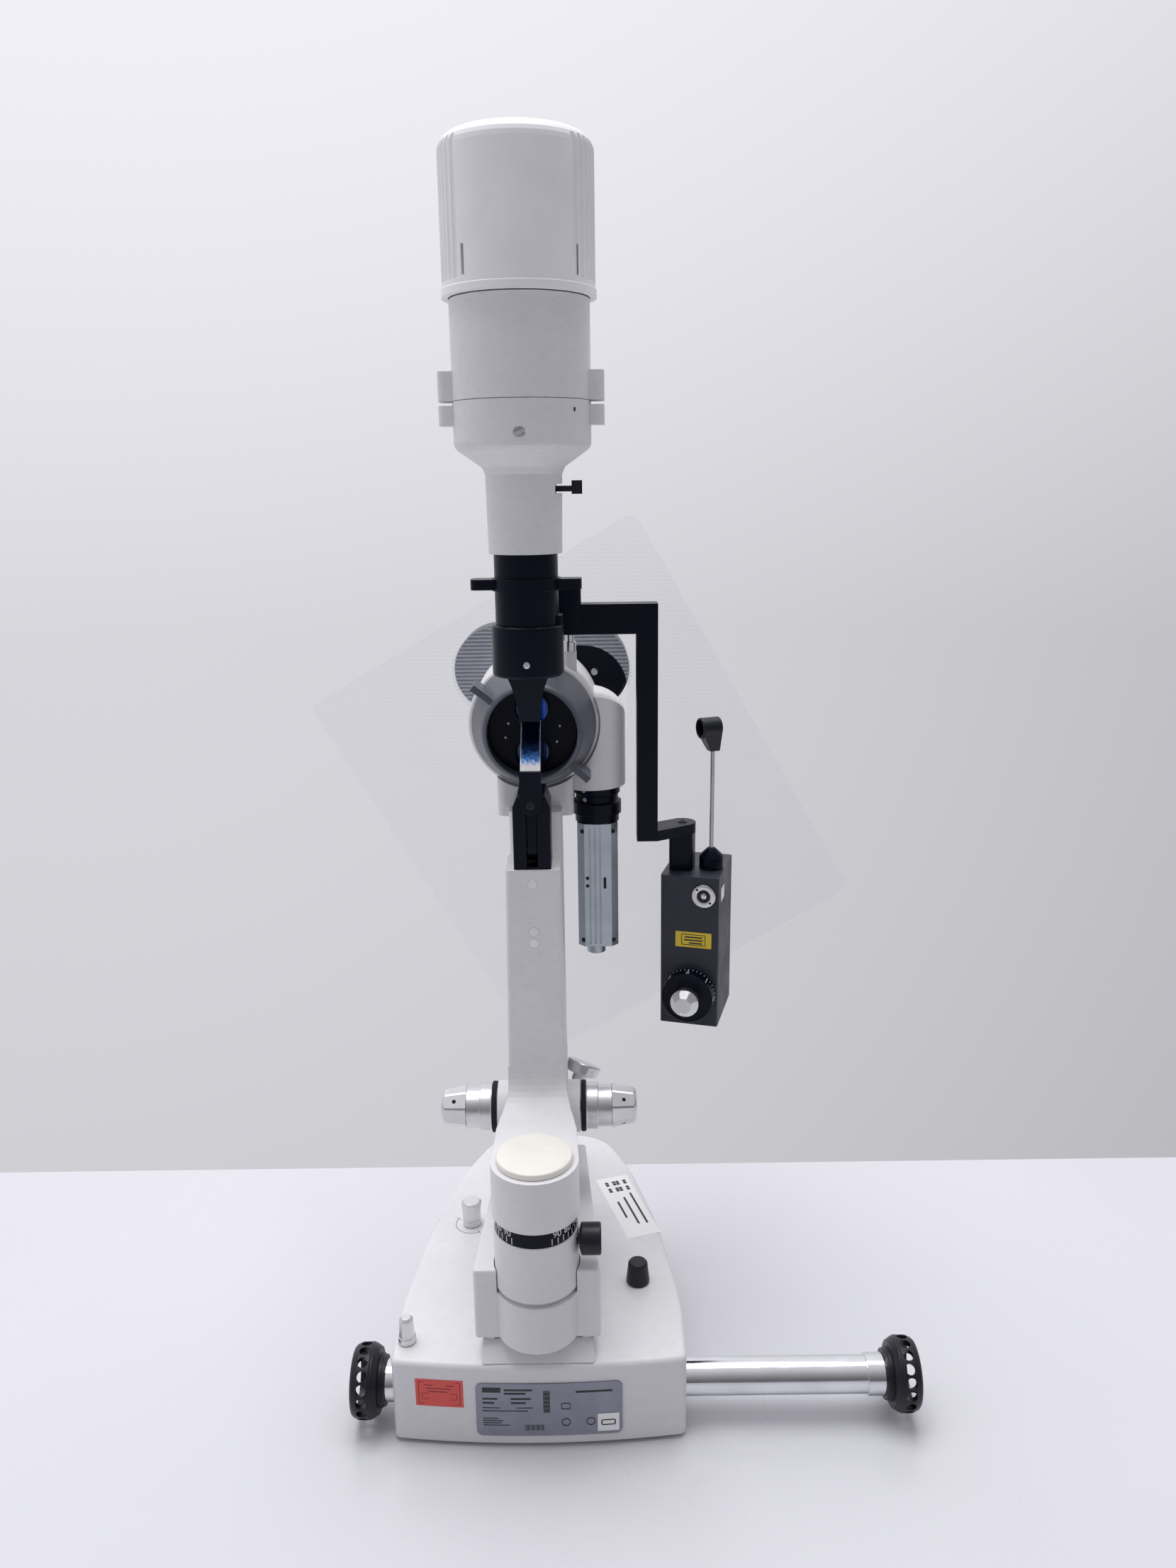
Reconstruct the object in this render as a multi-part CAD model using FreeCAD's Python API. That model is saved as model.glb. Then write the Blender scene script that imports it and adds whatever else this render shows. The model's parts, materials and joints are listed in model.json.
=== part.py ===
"""Slit lamp biomicroscope with an illumination tower, a video camera and a tonometer parked at the side.

Millimetres. X runs to the right as the patient sees the instrument, Y from the patient towards the
examiner, Z up. The origin is on the column axis, about which both arms swing, at the height of the
surface that the base stands on.
"""
import FreeCAD
import Part
import math
import os

VEC = FreeCAD.Vector

# Driving dimensions ---------------------------------------------------------------------------------
PAD_TOP = 3.0                 # glide pads under the sole plate
SOLE_TOP = 6.0
BASE_TOP = 58.0
BASE_WALL = 4.0
AXLE_Y = 7.0                  # cross axle that rolls on the table's two racks
AXLE_Z = 27.0
AXLE_LEFT = -115.5            # outer faces of the two rack wheels
AXLE_RIGHT = 232.5
AXLE_R = 11.2
WHEEL_R = 22.0
SLEEVE_R = 13.0
FERRULE_R = 12.4
RUNNING = 0.05                # radial clearance of a running fit
COLUMN_R = 25.5
COLUMN_BOTTOM = 70.0
BOX_FRONT = -10.0             # carriage box that rises and falls on the pedestal
BOX_REAR = 126.0
BOX_BOTTOM = 71.2
BOX_ROOF = 108.0              # underside of its roof
BOX_TOP = 117.2
PEDESTAL_TOP = 98.4
TOE_TOP = 67.5                # sloping foot of the pedestal, in front of its shaft
SPINDLE_R = 10.0
SCALE_R = 24.4                # angle scale ring between the two arms
LIFT_DOWN = 2.0               # travel of the carriage below and above its rest height
LIFT_UP = 27.0
COLUMN_TOP = 102.0
MIC_HUB_BOTTOM = 105.6
MIC_HUB_TOP = 142.0
ILL_HUB_BOTTOM = 152.0
ILL_HUB_TOP = 184.3
MIC_LIMB_FRONT = 115.0        # upright of the microscope arm, outside the sweep of the slit knobs
MIC_LIMB_REAR = 148.0
TOWER_Y = 78.0                # tower axis in front of which the patient's eye sits on the column axis
ARM_FRONT = 62.0
ARM_REAR = 95.0
ARM_TOP = 340.6
KNOB_Z = 174.6                # slit width knob axis
TONGUE_R = 11.6               # round end of the tower's tongue, in the slot of the tilt block
TILT_Z = 354.0                # axis about which the tower leans towards the patient
COLLAR_BOTTOM = 457.0
COLLAR_TOP = 487.0
TUBE_TOP = 527.4
NECK_TOP = 573.0
HEAD_BOTTOM = 586.0
HEAD_JOINT = 610.3
CAP_BOTTOM = 663.4
CAP_TOP = 743.7
HEAD_R = 38.5
CAP_R = 41.7
OPTIC_Z = 416.3               # microscope axis
CONE_FRONT = 100.0
CONE_REAR = 130.0
BODY_R = 42.4
REAR_R = 41.5                 # disc behind the microscope body, which carries the breath shield
LENS_R = 10.8
LENS_OFFSET = 13.6            # of each objective lens above or below the axis
BODY_REAR = 193.5
SHIELD_Y = 194.0
PRISM_X = 31.0                # half the spacing of the two prism housings
PRISM_MID_X = 3.0
PRISM_Z = 440.0
JOURNAL_X = 20.0               # half the spacing of the journals that the prism housings turn on
SIDE_R = 23.0                 # round side housing that passes light down to the camera
SIDE_X = 36.0
SIDE_Y = 152.0
PIVOT_X = 23.4                # tonometer pivot pin
PIVOT_Y = 140.0
JOY_Y = 200.0
JOY_Z = 53.0
TRUNNION_R = 2.0

CLAMP_AT = VEC(29.5, 131, 177)                    # top of the clamping knob, which leans out and back
CLAMP_AXIS = VEC(0.371471, 0.341352, 0.863420)

HOLE_OUT = VEC(math.cos(math.radians(45)), -math.sin(math.radians(45)), 0)

NODES = {}


# Helpers --------------------------------------------------------------------------------------------
def box(x0, x1, y0, y1, z0, z1):
    return Part.makeBox(x1 - x0, y1 - y0, z1 - z0, VEC(x0, y0, z0))


def cyl_z(r, z0, z1, x=0.0, y=0.0):
    return Part.makeCylinder(r, z1 - z0, VEC(x, y, z0), VEC(0, 0, 1))


def cyl_x(r, x0, x1, y, z):
    return Part.makeCylinder(r, x1 - x0, VEC(x0, y, z), VEC(1, 0, 0))


def cyl_y(r, y0, y1, x, z):
    return Part.makeCylinder(r, y1 - y0, VEC(x, y0, z), VEC(0, 1, 0))


def fuse(*shapes):
    whole = shapes[0].multiFuse(list(shapes[1:]))
    return whole.removeSplitter()


def cut(shape, *tools):
    for tool in tools:
        shape = shape.cut(tool)
    return shape


def prism(points, push):
    """Straight-sided outline pushed along a vector."""
    wire = Part.makePolygon(points + [points[0]])
    return Part.Face(wire).extrude(push)


def side_prism(outline, half_width):
    """Outline in Y and Z, extruded evenly to both sides of X = 0."""
    points = [VEC(-half_width, y, z) for y, z in outline]
    return prism(points, VEC(2 * half_width, 0, 0))


def front_prism(outline, y0, y1):
    """Outline in X and Z, extruded along Y."""
    return prism([VEC(x, y0, z) for x, z in outline], VEC(0, y1 - y0, 0))


def plan_prism(outline, z0, z1):
    """Outline in X and Y, extruded upwards."""
    return prism([VEC(x, y, z0) for x, y in outline], VEC(0, 0, z1 - z0))


def lathe(profile, origin, axis):
    """Turned part: profile pairs are (distance along the axis, radius)."""
    side = VEC(0, 0, 1) if abs(axis.z) < 0.5 else VEC(1, 0, 0)
    points = [origin + axis * along + side * radius for along, radius in profile]
    wire = Part.makePolygon(points + [points[0]])
    return Part.Face(wire).revolve(origin, axis, 360)


def rounded(shape, radius, keep):
    """Fillet the edges whose middle satisfies keep(point)."""
    edges = [edge for edge in shape.Edges if keep(edge.CenterOfMass)]
    return shape.makeFillet(radius, edges)


def upright_edges(shape, radius):
    """Fillet the straight vertical edges."""
    edges = []
    for edge in shape.Edges:
        if len(edge.Vertexes) == 2:
            run = edge.Vertexes[1].Point - edge.Vertexes[0].Point
            if run.Length > 1 and abs(run.z) > 0.99 * run.Length and edge.Length < 1.001 * run.Length:
                edges.append(edge)
    return shape.makeFillet(radius, edges)


def rounded_rectangle(half_x, y0, y1, radius, z):
    """Wire at height z, even about X = 0."""
    plate = upright_edges(box(-half_x, half_x, y0, y1, z, z + 10), radius)
    floor = min(plate.Faces, key=lambda face: face.CenterOfMass.z)
    return floor.OuterWire


def turned(shape, degrees, centre, axis):
    copy = shape.copy()
    copy.rotate(centre, axis, degrees)
    return copy


def save(name, shape):
    if shape.ShapeType == "Compound" and len(shape.Solids) == 1:
        shape = shape.Solids[0]
    NODES[name] = shape


# Base -----------------------------------------------------------------------------------------------
# x, y and plan radius of each corner of the right side
BASE_CORNERS = ((89, -13, 5), (90, 36, 200), (80, 118, 300), (63, 188, 120), (42, 237, 34))


def base_blank(z):
    """Gently curved front, and sides that run together at the examiner's end."""
    right = [VEC(x, y, z) for x, y, radius in BASE_CORNERS]
    left = [VEC(-x, y, z) for x, y, radius in reversed(BASE_CORNERS)]
    edges = [Part.Arc(left[-1], VEC(0, -19, z), right[0]).toShape()]
    loop = right + left
    for start, end in zip(loop, loop[1:]):
        edges.append(Part.LineSegment(start, end).toShape())
    solid = Part.Face(Part.Wire(edges)).extrude(VEC(0, 0, 10))
    for x, y, radius in BASE_CORNERS:
        solid = rounded(solid, radius, lambda p: abs(abs(p.x) - x) < 0.5 and abs(p.y - y) < 0.5)
    return solid


def base_face(z, offset=0.0):
    floor = min(base_blank(z).Faces, key=lambda face: face.CenterOfMass.z)
    wire = floor.OuterWire
    if offset:
        wire = wire.makeOffset2D(offset)
    return Part.Face(wire)


def base_solid(z0, z1, offset=0.0):
    return base_face(z0, offset).extrude(VEC(0, 0, z1 - z0))


KNOB_SPOTS = {"release_knob": (-52.0, 121.0), "base_lock_knob": (-81.0, 3.5), "brake_knob": (62.6, 56.5)}
STEM_R = 3.0
BUSH_R = 17.0
BUSH_OUTER = 87.0             # outer face of each bush, inside the wall
PLATE_HEIGHTS = (9.0, 46.0)


def base():
    shell = rounded(base_solid(PAD_TOP, BASE_TOP), 3.5, lambda p: p.z > BASE_TOP - 0.5)
    shell = shell.cut(base_solid(PAD_TOP - 1, BASE_TOP - BASE_WALL, -BASE_WALL))
    well = fuse(cyl_z(26, BASE_TOP - BASE_WALL, BASE_TOP + 4, 0, JOY_Y), cyl_z(22, 40, BASE_TOP, 0, JOY_Y))
    shell = shell.fuse(well)
    shell = cut(shell, cyl_z(17.5, 30, BASE_TOP + 10, 0, JOY_Y))
    shell = shell.cut(cyl_y(TRUNNION_R + RUNNING, JOY_Y - 20, JOY_Y + 20, 0, JOY_Z))
    shell = shell.cut(cyl_x(SLEEVE_R + 0.4, -100, 100, AXLE_Y, AXLE_Z))
    shell = shell.cut(cyl_x(BUSH_R, -BUSH_OUTER, BUSH_OUTER, AXLE_Y, AXLE_Z))
    shell = cut(shell, pedestal_core(BASE_TOP - 10, BASE_TOP + 1))
    for x, y in KNOB_SPOTS.values():
        shell = shell.cut(cyl_z(STEM_R + RUNNING, BASE_TOP - 10, BASE_TOP + 1, x, y))
    save("base_housing", shell.removeSplitter())

    save("base_plate", base_solid(PAD_TOP, SOLE_TOP, -BASE_WALL))
    front_pad = upright_edges(box(-62, 62, -9, 32, 0, PAD_TOP), 8)
    rear_pad = cyl_z(26, 0, PAD_TOP, 0, 196)
    save("glide_pads", Part.makeCompound([front_pad, rear_pad]))

    low, high = PLATE_HEIGHTS
    sheet = base_solid(low, high, 0.8).cut(base_solid(low - 1, high + 1))
    outline = rounded(box(-38, 50, -30, 0, low, high), 4, lambda p: abs(p.y + 15) < 0.1)
    save("front_plate", sheet.common(outline))

    bushes = []
    for side in (-1, 1):
        near, far = sorted((side * (BUSH_OUTER - 11), side * BUSH_OUTER))
        bush = cyl_x(BUSH_R, near, far, AXLE_Y, AXLE_Z)
        bushes.append(bush.cut(cyl_x(SLEEVE_R + RUNNING, near, far, AXLE_Y, AXLE_Z)))
    save("axle_bushes", Part.makeCompound(bushes))


def pedestal_core(z0, z1):
    """Space inside the pedestal, through which the lift parts reach down into the base."""
    return plan_prism([(-30.3, -3), (30.3, -3), (22.5, 114), (-22.5, 114)], z0, z1)


def pedestal():
    outer = plan_prism([(-33.4, -6.5), (33.4, -6.5), (25.5, 118), (-25.5, 118)], BASE_TOP, PEDESTAL_TOP)
    outer = upright_edges(outer, 3)
    toe = side_prism([(-17, BASE_TOP), (4, BASE_TOP), (4, TOE_TOP), (-6.5, TOE_TOP)], 40)
    toe = toe.common(upright_edges(plan_prism([(-34, -17), (34, -17), (32.7, 4), (-32.7, 4)], 50, 70), 2))
    column_room = cyl_z(COLUMN_R + 1.8, TOE_TOP, PEDESTAL_TOP + 1)
    save("pedestal_cover", cut(fuse(outer, toe), pedestal_core(BASE_TOP - 1, PEDESTAL_TOP + 1), column_room))
    rods = []
    for side in (-1, 1):
        rods.append(cyl_z(6, SOLE_TOP, 110, 14.5 * side, 76))
    save("guide_rods", Part.makeCompound(rods))


def axle():
    bore = cyl_x(AXLE_R + RUNNING, -99, 99, AXLE_Y, AXLE_Z)
    save("axle_sleeve", cyl_x(SLEEVE_R, -88.8, 88.8, AXLE_Y, AXLE_Z).cut(bore))
    shaft = cyl_x(AXLE_R, AXLE_LEFT + 14, AXLE_RIGHT - 14, AXLE_Y, AXLE_Z)
    right_ferrule = cyl_x(FERRULE_R, AXLE_RIGHT - 31, AXLE_RIGHT - 20.2, AXLE_Y, AXLE_Z)
    left_ferrule = cyl_x(FERRULE_R, AXLE_LEFT + 20.2, -89.1, AXLE_Y, AXLE_Z)
    save("axle_shaft", fuse(shaft, right_ferrule, left_ferrule))
    save("wheel_right", wheel(AXLE_RIGHT, -1))
    save("wheel_left", wheel(AXLE_LEFT, 1))


def wheel(outer_x, inwards):
    """Cup-shaped rack wheel: a ring of sockets for the rack's studs passes right through the rim."""
    profile = [(0, 18.4), (0, 19.4), (1.2, 20.6), (4, 21.8), (6, WHEEL_R), (11, WHEEL_R), (12, 21.4),
               (12.5, 21.4), (16, 19.2), (16.2, 15.6), (18, 15.6), (18.2, 15.0), (20, 14.6), (20, AXLE_R),
               (14, AXLE_R), (14, 0), (12, 0), (12, 18.4)]
    body = lathe(profile, VEC(outer_x, AXLE_Y, AXLE_Z), VEC(inwards, 0, 0))
    sockets = 17
    for index in range(sockets):
        angle = 2 * math.pi * (index + 0.3) / sockets
        out = VEC(0, math.cos(angle), math.sin(angle))
        foot = VEC(outer_x + 7.2 * inwards, AXLE_Y, AXLE_Z) + out * 16
        body = body.cut(Part.makeCylinder(3.2, 8, foot, out))
    return body


def flats(radius_low, radius_high, low, high, sides=8):
    """Tapering bar with flat sides; the radii are those of its flats."""
    rings = []
    for z, radius in ((low, radius_low), (high, radius_high)):
        corner = radius / math.cos(math.pi / sides)
        points = []
        for index in range(sides + 1):
            angle = 2 * math.pi * (index + 0.5) / sides
            points.append(VEC(corner * math.cos(angle), corner * math.sin(angle), z))
        rings.append(Part.makePolygon(points))
    return Part.makeLoft(rings, True, True)


def knob(ring, waist, head, height):
    """Faceted hand knob standing on Z = 0: a foot ring, a groove and a head with eight flats."""
    foot = lathe([(0.6, 0), (0.6, ring), (4.2, ring), (4.8, ring - 0.6), (5.2, waist), (5.8, waist), (5.8, 0)],
                 VEC(0, 0, 0), VEC(0, 0, 1))
    crown = lathe([(5.8, 0), (5.8, waist), (height - 1.6, head), (height, head - 1.5), (height, 0)],
                  VEC(0, 0, 0), VEC(0, 0, 1))
    crown = crown.common(flats(waist * 0.97, head * 0.95, 5.8, height))
    return fuse(foot, crown, cyl_z(STEM_R, -9, 1.5))


def base_knobs():
    shapes = {"release_knob": knob(6.3, 6.2, 7.2, 18.5), "base_lock_knob": knob(5.4, 4.8, 4.3, 17.5)}
    cone = lathe([(0.6, 0), (0.6, 7.3), (1.2, 7.6), (3, 7.5), (14, 6.3), (15, 5.6), (15.2, 5.0), (15.2, 0)],
                 VEC(0, 0, 0), VEC(0, 0, 1))
    shapes["brake_knob"] = fuse(cone, cyl_z(STEM_R, -9, 1.5))
    for name, shape in shapes.items():
        x, y = KNOB_SPOTS[name]
        shape.translate(VEC(x, y, BASE_TOP))
        save(name, shape)


def joystick():
    centre = VEC(0, JOY_Y, JOY_Z)
    ring = cyl_z(16, JOY_Z - 4, JOY_Z + 4, 0, JOY_Y).cut(cyl_z(12.5, JOY_Z - 5, JOY_Z + 5, 0, JOY_Y))
    trunnions = cyl_y(TRUNNION_R, JOY_Y - 19.5, JOY_Y + 19.5, 0, JOY_Z).cut(cyl_z(14, 40, 60, 0, JOY_Y))
    ring = ring.cut(cyl_x(TRUNNION_R + RUNNING, -20, 20, JOY_Y, JOY_Z))
    save("joystick_gimbal", fuse(ring, *trunnions.Solids))
    pivot = cyl_x(TRUNNION_R, -15.5, 15.5, JOY_Y, JOY_Z)
    save("joystick_stem", fuse(Part.makeSphere(11, centre), cyl_z(5, JOY_Z, 112, 0, JOY_Y), pivot))
    bore = 5 + RUNNING
    profile = [(68, 10), (71, 12.5), (80, 13), (92, 11.4), (104, 12.6), (114, 13.4), (117.5, 12), (118, 9),
               (118, 8.6), (113.5, 8.6), (113.5, bore), (68, bore)]
    grip = lathe(profile, VEC(0, JOY_Y, 0), VEC(0, 0, 1))
    save("joystick_grip", grip)
    button = rounded(cyl_z(8, 116, 123, 0, JOY_Y), 2, lambda p: p.z > 122)
    save("joystick_button", button)


# Carriage -------------------------------------------------------------------------------------------
def carriage():
    plan = [(-38, BOX_FRONT), (38, BOX_FRONT), (29, BOX_REAR), (-29, BOX_REAR)]
    shell = upright_edges(plan_prism(plan, BOX_BOTTOM, BOX_TOP), 2.5)
    shell = rounded(shell, 1.5, lambda p: p.z > BOX_TOP - 0.1)
    cavity = [(-35.4, BOX_FRONT + 2.2), (35.4, BOX_FRONT + 2.2), (26.7, 119.3), (-26.7, 119.3)]
    shell = shell.cut(plan_prism(cavity, BOX_BOTTOM - 1, BOX_ROOF))
    web = box(-16, 16, 20, 62, 72, BOX_ROOF + 4)
    guide = box(-21.5, 21.5, 62, 88, 64, BOX_ROOF + 4)
    column = cyl_z(COLUMN_R, COLUMN_BOTTOM, COLUMN_TOP)
    column = rounded(column, 3, lambda p: p.z < COLUMN_BOTTOM + 0.5)
    ring = cyl_z(22.5, COLUMN_TOP, COLUMN_TOP + 3)
    shell = fuse(shell, web, guide)
    shell = shell.cut(cyl_z(COLUMN_R + 0.3, COLUMN_TOP, BOX_TOP + 1))
    shell = fuse(shell, column, ring)
    shell = cut(shell, cyl_z(SPINDLE_R, 76, 130), cyl_z(7.0, BOX_ROOF - 1, BOX_ROOF + 7, 0, 102))
    for side in (-1, 1):
        shell = shell.cut(cyl_z(6 + RUNNING, 60, 113.5, 14.5 * side, 76))
    save("carriage_box", shell)
    disc = cyl_z(10, BOX_ROOF - 8.5, BOX_ROOF, 0, 102)
    save("lift_screw", fuse(cyl_z(7.0, 20, BOX_ROOF + 7, 0, 102), disc))
    spindle = cyl_z(SPINDLE_R, 76, ILL_HUB_TOP + 0.4)
    save("spindle", spindle)
    cap = rounded(cyl_z(22.4, ILL_HUB_TOP + 0.4, ILL_HUB_TOP + 4), 1.2, lambda p: p.z > ILL_HUB_TOP + 3.9)
    save("spindle_cap", cap)


# Microscope arm and microscope ----------------------------------------------------------------------
def microscope_arm():
    bore = cyl_z(SPINDLE_R + RUNNING, 90, 160)
    hub = cyl_z(25.2, MIC_HUB_BOTTOM, MIC_HUB_TOP)
    limb_plan = [(-22, 0), (22, 0), (17, MIC_LIMB_REAR), (-17, MIC_LIMB_REAR)]
    limb = upright_edges(plan_prism(limb_plan, 127, 147), 5)
    limb = limb.cut(cyl_z(SCALE_R + 0.3, MIC_HUB_TOP, 150))
    upright = upright_edges(box(-17, 17, MIC_LIMB_FRONT, MIC_LIMB_REAR, 127, 362), 5)
    head = upright_edges(box(-25, 25, 128, 188, 356, 384), 6)
    arm = fuse(hub, limb, upright, head)
    arm = cut(arm, bore, cyl_y(BODY_R, 120, 200, 0, OPTIC_Z))
    arm = arm.cut(cyl_x(STEM_R + RUNNING, 18, 30, -6, 135.5))
    arm = arm.cut(Part.makeCylinder(STEM_R + RUNNING, 26, CLAMP_AT - CLAMP_AXIS * 44, CLAMP_AXIS))
    arm = arm.cut(cyl_z(SIDE_R + 0.2, 340, 431, SIDE_X, SIDE_Y))
    save("microscope_arm", arm)
    scale = cyl_z(SCALE_R, MIC_HUB_TOP, ILL_HUB_BOTTOM - 0.6).cut(cyl_z(SPINDLE_R + RUNNING, 130, 160))
    save("angle_scale", scale)

    lock = lathe([(25.4, 0), (25.4, 5), (26.6, 9.0), (27, 9.3), (37.6, 9.3), (38.4, 8.6), (38.4, 0)],
                 VEC(0, -6, 135.5), VEC(1, 0, 0))
    save("arm_lock_knob", fuse(lock, cyl_x(STEM_R, 18.5, 26, -6, 135.5)))
    crown = lathe([(-8, 0), (-8, 9.6), (-6.8, 10.8), (-1.0, 12.0), (0, 11.2), (0, 0)],
                  VEC(0, 0, 0), VEC(0, 0, 1))
    crown = crown.common(flats(10.4, 11.8, -8, 0, 12))
    clamp = fuse(crown, cyl_z(5, -13, -7.5), cyl_z(STEM_R, -43, -12))
    clamp.Placement = FreeCAD.Placement(CLAMP_AT, FreeCAD.Rotation(VEC(0, 0, 1), CLAMP_AXIS))
    save("arm_clamp_knob", clamp)


def side_roof():
    """Space over the side housing, whose top falls away from the microscope in a rounded shoulder."""
    crest, drop, reach = 434.0, 15.5, 24.0
    low_x = SIDE_X + SIDE_R - reach
    edge = [(low_x, crest)]
    for step in range(1, 9):
        angle = math.radians(90 * step / 8)
        edge.append((low_x + reach * math.sin(angle), crest - drop * (1 - math.cos(angle))))
    edge += [(SIDE_X + SIDE_R + 10, crest - drop), (SIDE_X + SIDE_R + 10, 450), (low_x - 30, 450),
             (low_x - 30, crest)]
    return front_prism(edge, 120, 180)


def microscope():
    body = rounded(cyl_y(BODY_R, CONE_REAR + 0.5, BODY_REAR, 0, OPTIC_Z), 3, lambda p: True)
    rear = rounded(cyl_y(REAR_R, 186, 203.5, 0, OPTIC_Z), 1.5, lambda p: p.y > 203)
    body = fuse(body, rear)
    body = body.cut(cyl_y(20 + RUNNING, 120, 151, 0, OPTIC_Z))
    body = body.cut(cyl_y(14, 150, 198, 0, OPTIC_Z))
    for side in (-1, 1):
        x = PRISM_MID_X + side * JOURNAL_X
        body = body.cut(cyl_y(6 + RUNNING, 197, 210, x, PRISM_Z))
    pin_seat = cyl_z(4.5, 430, 462, PIVOT_X, PIVOT_Y)
    body = fuse(body, pin_seat.cut(cyl_y(BODY_R - 1, 120, 200, 0, OPTIC_Z)))
    body = body.cut(cyl_z(3.0, 440, 463, PIVOT_X, PIVOT_Y))
    save("microscope_body", body)

    side = cyl_z(SIDE_R, 372, 436, SIDE_X, SIDE_Y)
    side = side.cut(side_roof())
    side = side.cut(cyl_y(BODY_R, 100, 210, 0, OPTIC_Z))
    solids = sorted(side.Solids, key=lambda solid: solid.Volume)
    save("side_housing", solids[-1])

    save("tonometer_pin", fuse(cyl_z(3.0, 441, 500, PIVOT_X, PIVOT_Y), cyl_z(4.2, 462, 468, PIVOT_X, PIVOT_Y)))

    adapter = lathe([(372, 0), (372, 15.4), (366, 15.4), (365, 14.2), (361, 14.2), (360, 16.2), (352, 16.2),
                     (351, 14.6), (346.6, 14.6), (346.6, 0)], VEC(40, 152, 0), VEC(0, 0, 1))
    save("camera_adapter", adapter)
    body = box(26.5, 53.5, 138.5, 165.5, 260, 346.6)
    chamfers = [edge for edge in body.Edges if abs(edge.Length - 86.6) < 0.01]
    body = body.makeChamfer(4.5, chamfers)
    for x in (34.6, 38.0, 41.4):
        body = body.cut(box(x - 0.5, x + 0.5, 137, 139.3, 262, 344))
    save("camera_body", fuse(body, cyl_z(6.4, 252, 261, 38.5, 152)))

    sheet = box(-130, 130, SHIELD_Y, SHIELD_Y + 3, -155, 155)
    sheet = rounded(sheet, 8, lambda p: abs(abs(p.x) - 130) < 0.1 and abs(abs(p.z) - 155) < 0.1)
    sheet = turned(sheet, -30, VEC(0, 0, 0), VEC(0, 1, 0))
    sheet.translate(VEC(32, 0, 348))
    window = box(-29, 62, SHIELD_Y - 1, SHIELD_Y + 4, 390, 458)
    window = rounded(window, 30, lambda p: abs(p.y - SHIELD_Y - 1.5) < 0.1 and p.z > 457)
    window = rounded(window, 12, lambda p: abs(p.y - SHIELD_Y - 1.5) < 0.1 and p.z < 391)
    save("breath_shield", cut(sheet, window, cyl_y(REAR_R, SHIELD_Y - 1, SHIELD_Y + 4, 0, OPTIC_Z)))


def magnification():
    """Objective changer: a cone with two thumb levers, a turret and two lenses one above the other."""
    axis = VEC(0, 1, 0)
    origin = VEC(0, 0, OPTIC_Z)
    cone = lathe([(CONE_REAR, 0), (CONE_REAR, 39.9), (CONE_REAR - 3, 39.6), (103, 31.4), (101, 30.2),
                  (CONE_FRONT, 28.8), (CONE_FRONT, 28.0), (118, 27.6), (118, 0)], origin, axis)
    journal = cyl_y(20, CONE_REAR - 1, 150, 0, OPTIC_Z)
    levers = []
    for degrees in (142, -42):
        lever = upright_edges(box(-2.2, 2.2, 104, 127, 30, 46.5), 0.8)
        lever = lever.cut(cyl_y(28.5, 90, 140, 0, 0))
        lever = turned(lever, 90 - degrees, VEC(0, 0, 0), axis)
        lever.translate(origin)
        levers.append(lever)
    ring = fuse(cone, journal, *levers)
    ring = ring.cut(cyl_y(12, 110, 160, 0, OPTIC_Z))
    save("magnification_ring", ring)

    turret = cyl_y(27.5, 110, 118, 0, OPTIC_Z)
    lenses = []
    for side in (-1, 1):
        z = OPTIC_Z + side * LENS_OFFSET
        turret = turret.cut(cyl_y(LENS_R, 109, 115, 0, z))
        lenses.append(cyl_y(LENS_R, 111.5, 115, 0, z))
    save("objective_turret", turret)
    save("objective_lenses", Part.makeCompound(lenses))


def binocular():
    for name, side in (("left", -1), ("right", 1)):
        x = PRISM_MID_X + side * PRISM_X
        drum = rounded(cyl_y(30, 204.2, 238, x, PRISM_Z), 2.5, lambda p: True)
        journal_x = PRISM_MID_X + side * JOURNAL_X
        shank = cyl_y(6, 198, 206, journal_x, PRISM_Z)
        eye_x = x + side * 3
        tube = cyl_y(15, 236, 258, eye_x, PRISM_Z - 10)
        housing = fuse(drum, shank, tube)
        housing = housing.cut(cyl_y(11, 240, 259, eye_x, PRISM_Z - 10))
        save("prism_housing_" + name, housing)
        eyepiece = lathe([(246, 0), (246, 10.9), (258.4, 10.9), (258.4, 16.5), (268, 17.2), (276, 17.2),
                          (278, 19.5), (284, 20), (297, 18.5), (300, 16.5), (300, 12), (292, 11), (292, 0)],
                         VEC(eye_x, 0, PRISM_Z - 10), VEC(0, 1, 0))
        save("eyepiece_" + name, eyepiece)


# Tonometer ------------------------------------------------------------------------------------------
TONO_BOX = (82.0, 139.2)      # front corner nearest to the arm, plan
TONO_TURN = -15.8
TONO_SIZE = (39.6, 54.6)
TONO_BOTTOM = 204.0
TONO_TOP = 310.6
DRUM_X = 20.2
DRUM_Z = 227.0
ROD_X = 30.1
ROD_Y = 23.3
SOCKET = (29.5, 298.0)        # plug socket in the front of the case
POST = (97.6, 154.6)          # post between the cranked arm and the case, plan


def tono(shape):
    """Place a shape built with the tonometer's front left corner at the origin of its plan."""
    shape = turned(shape, TONO_TURN, VEC(0, 0, 0), VEC(0, 0, 1))
    shape.translate(VEC(TONO_BOX[0], TONO_BOX[1], 0))
    return shape


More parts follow.
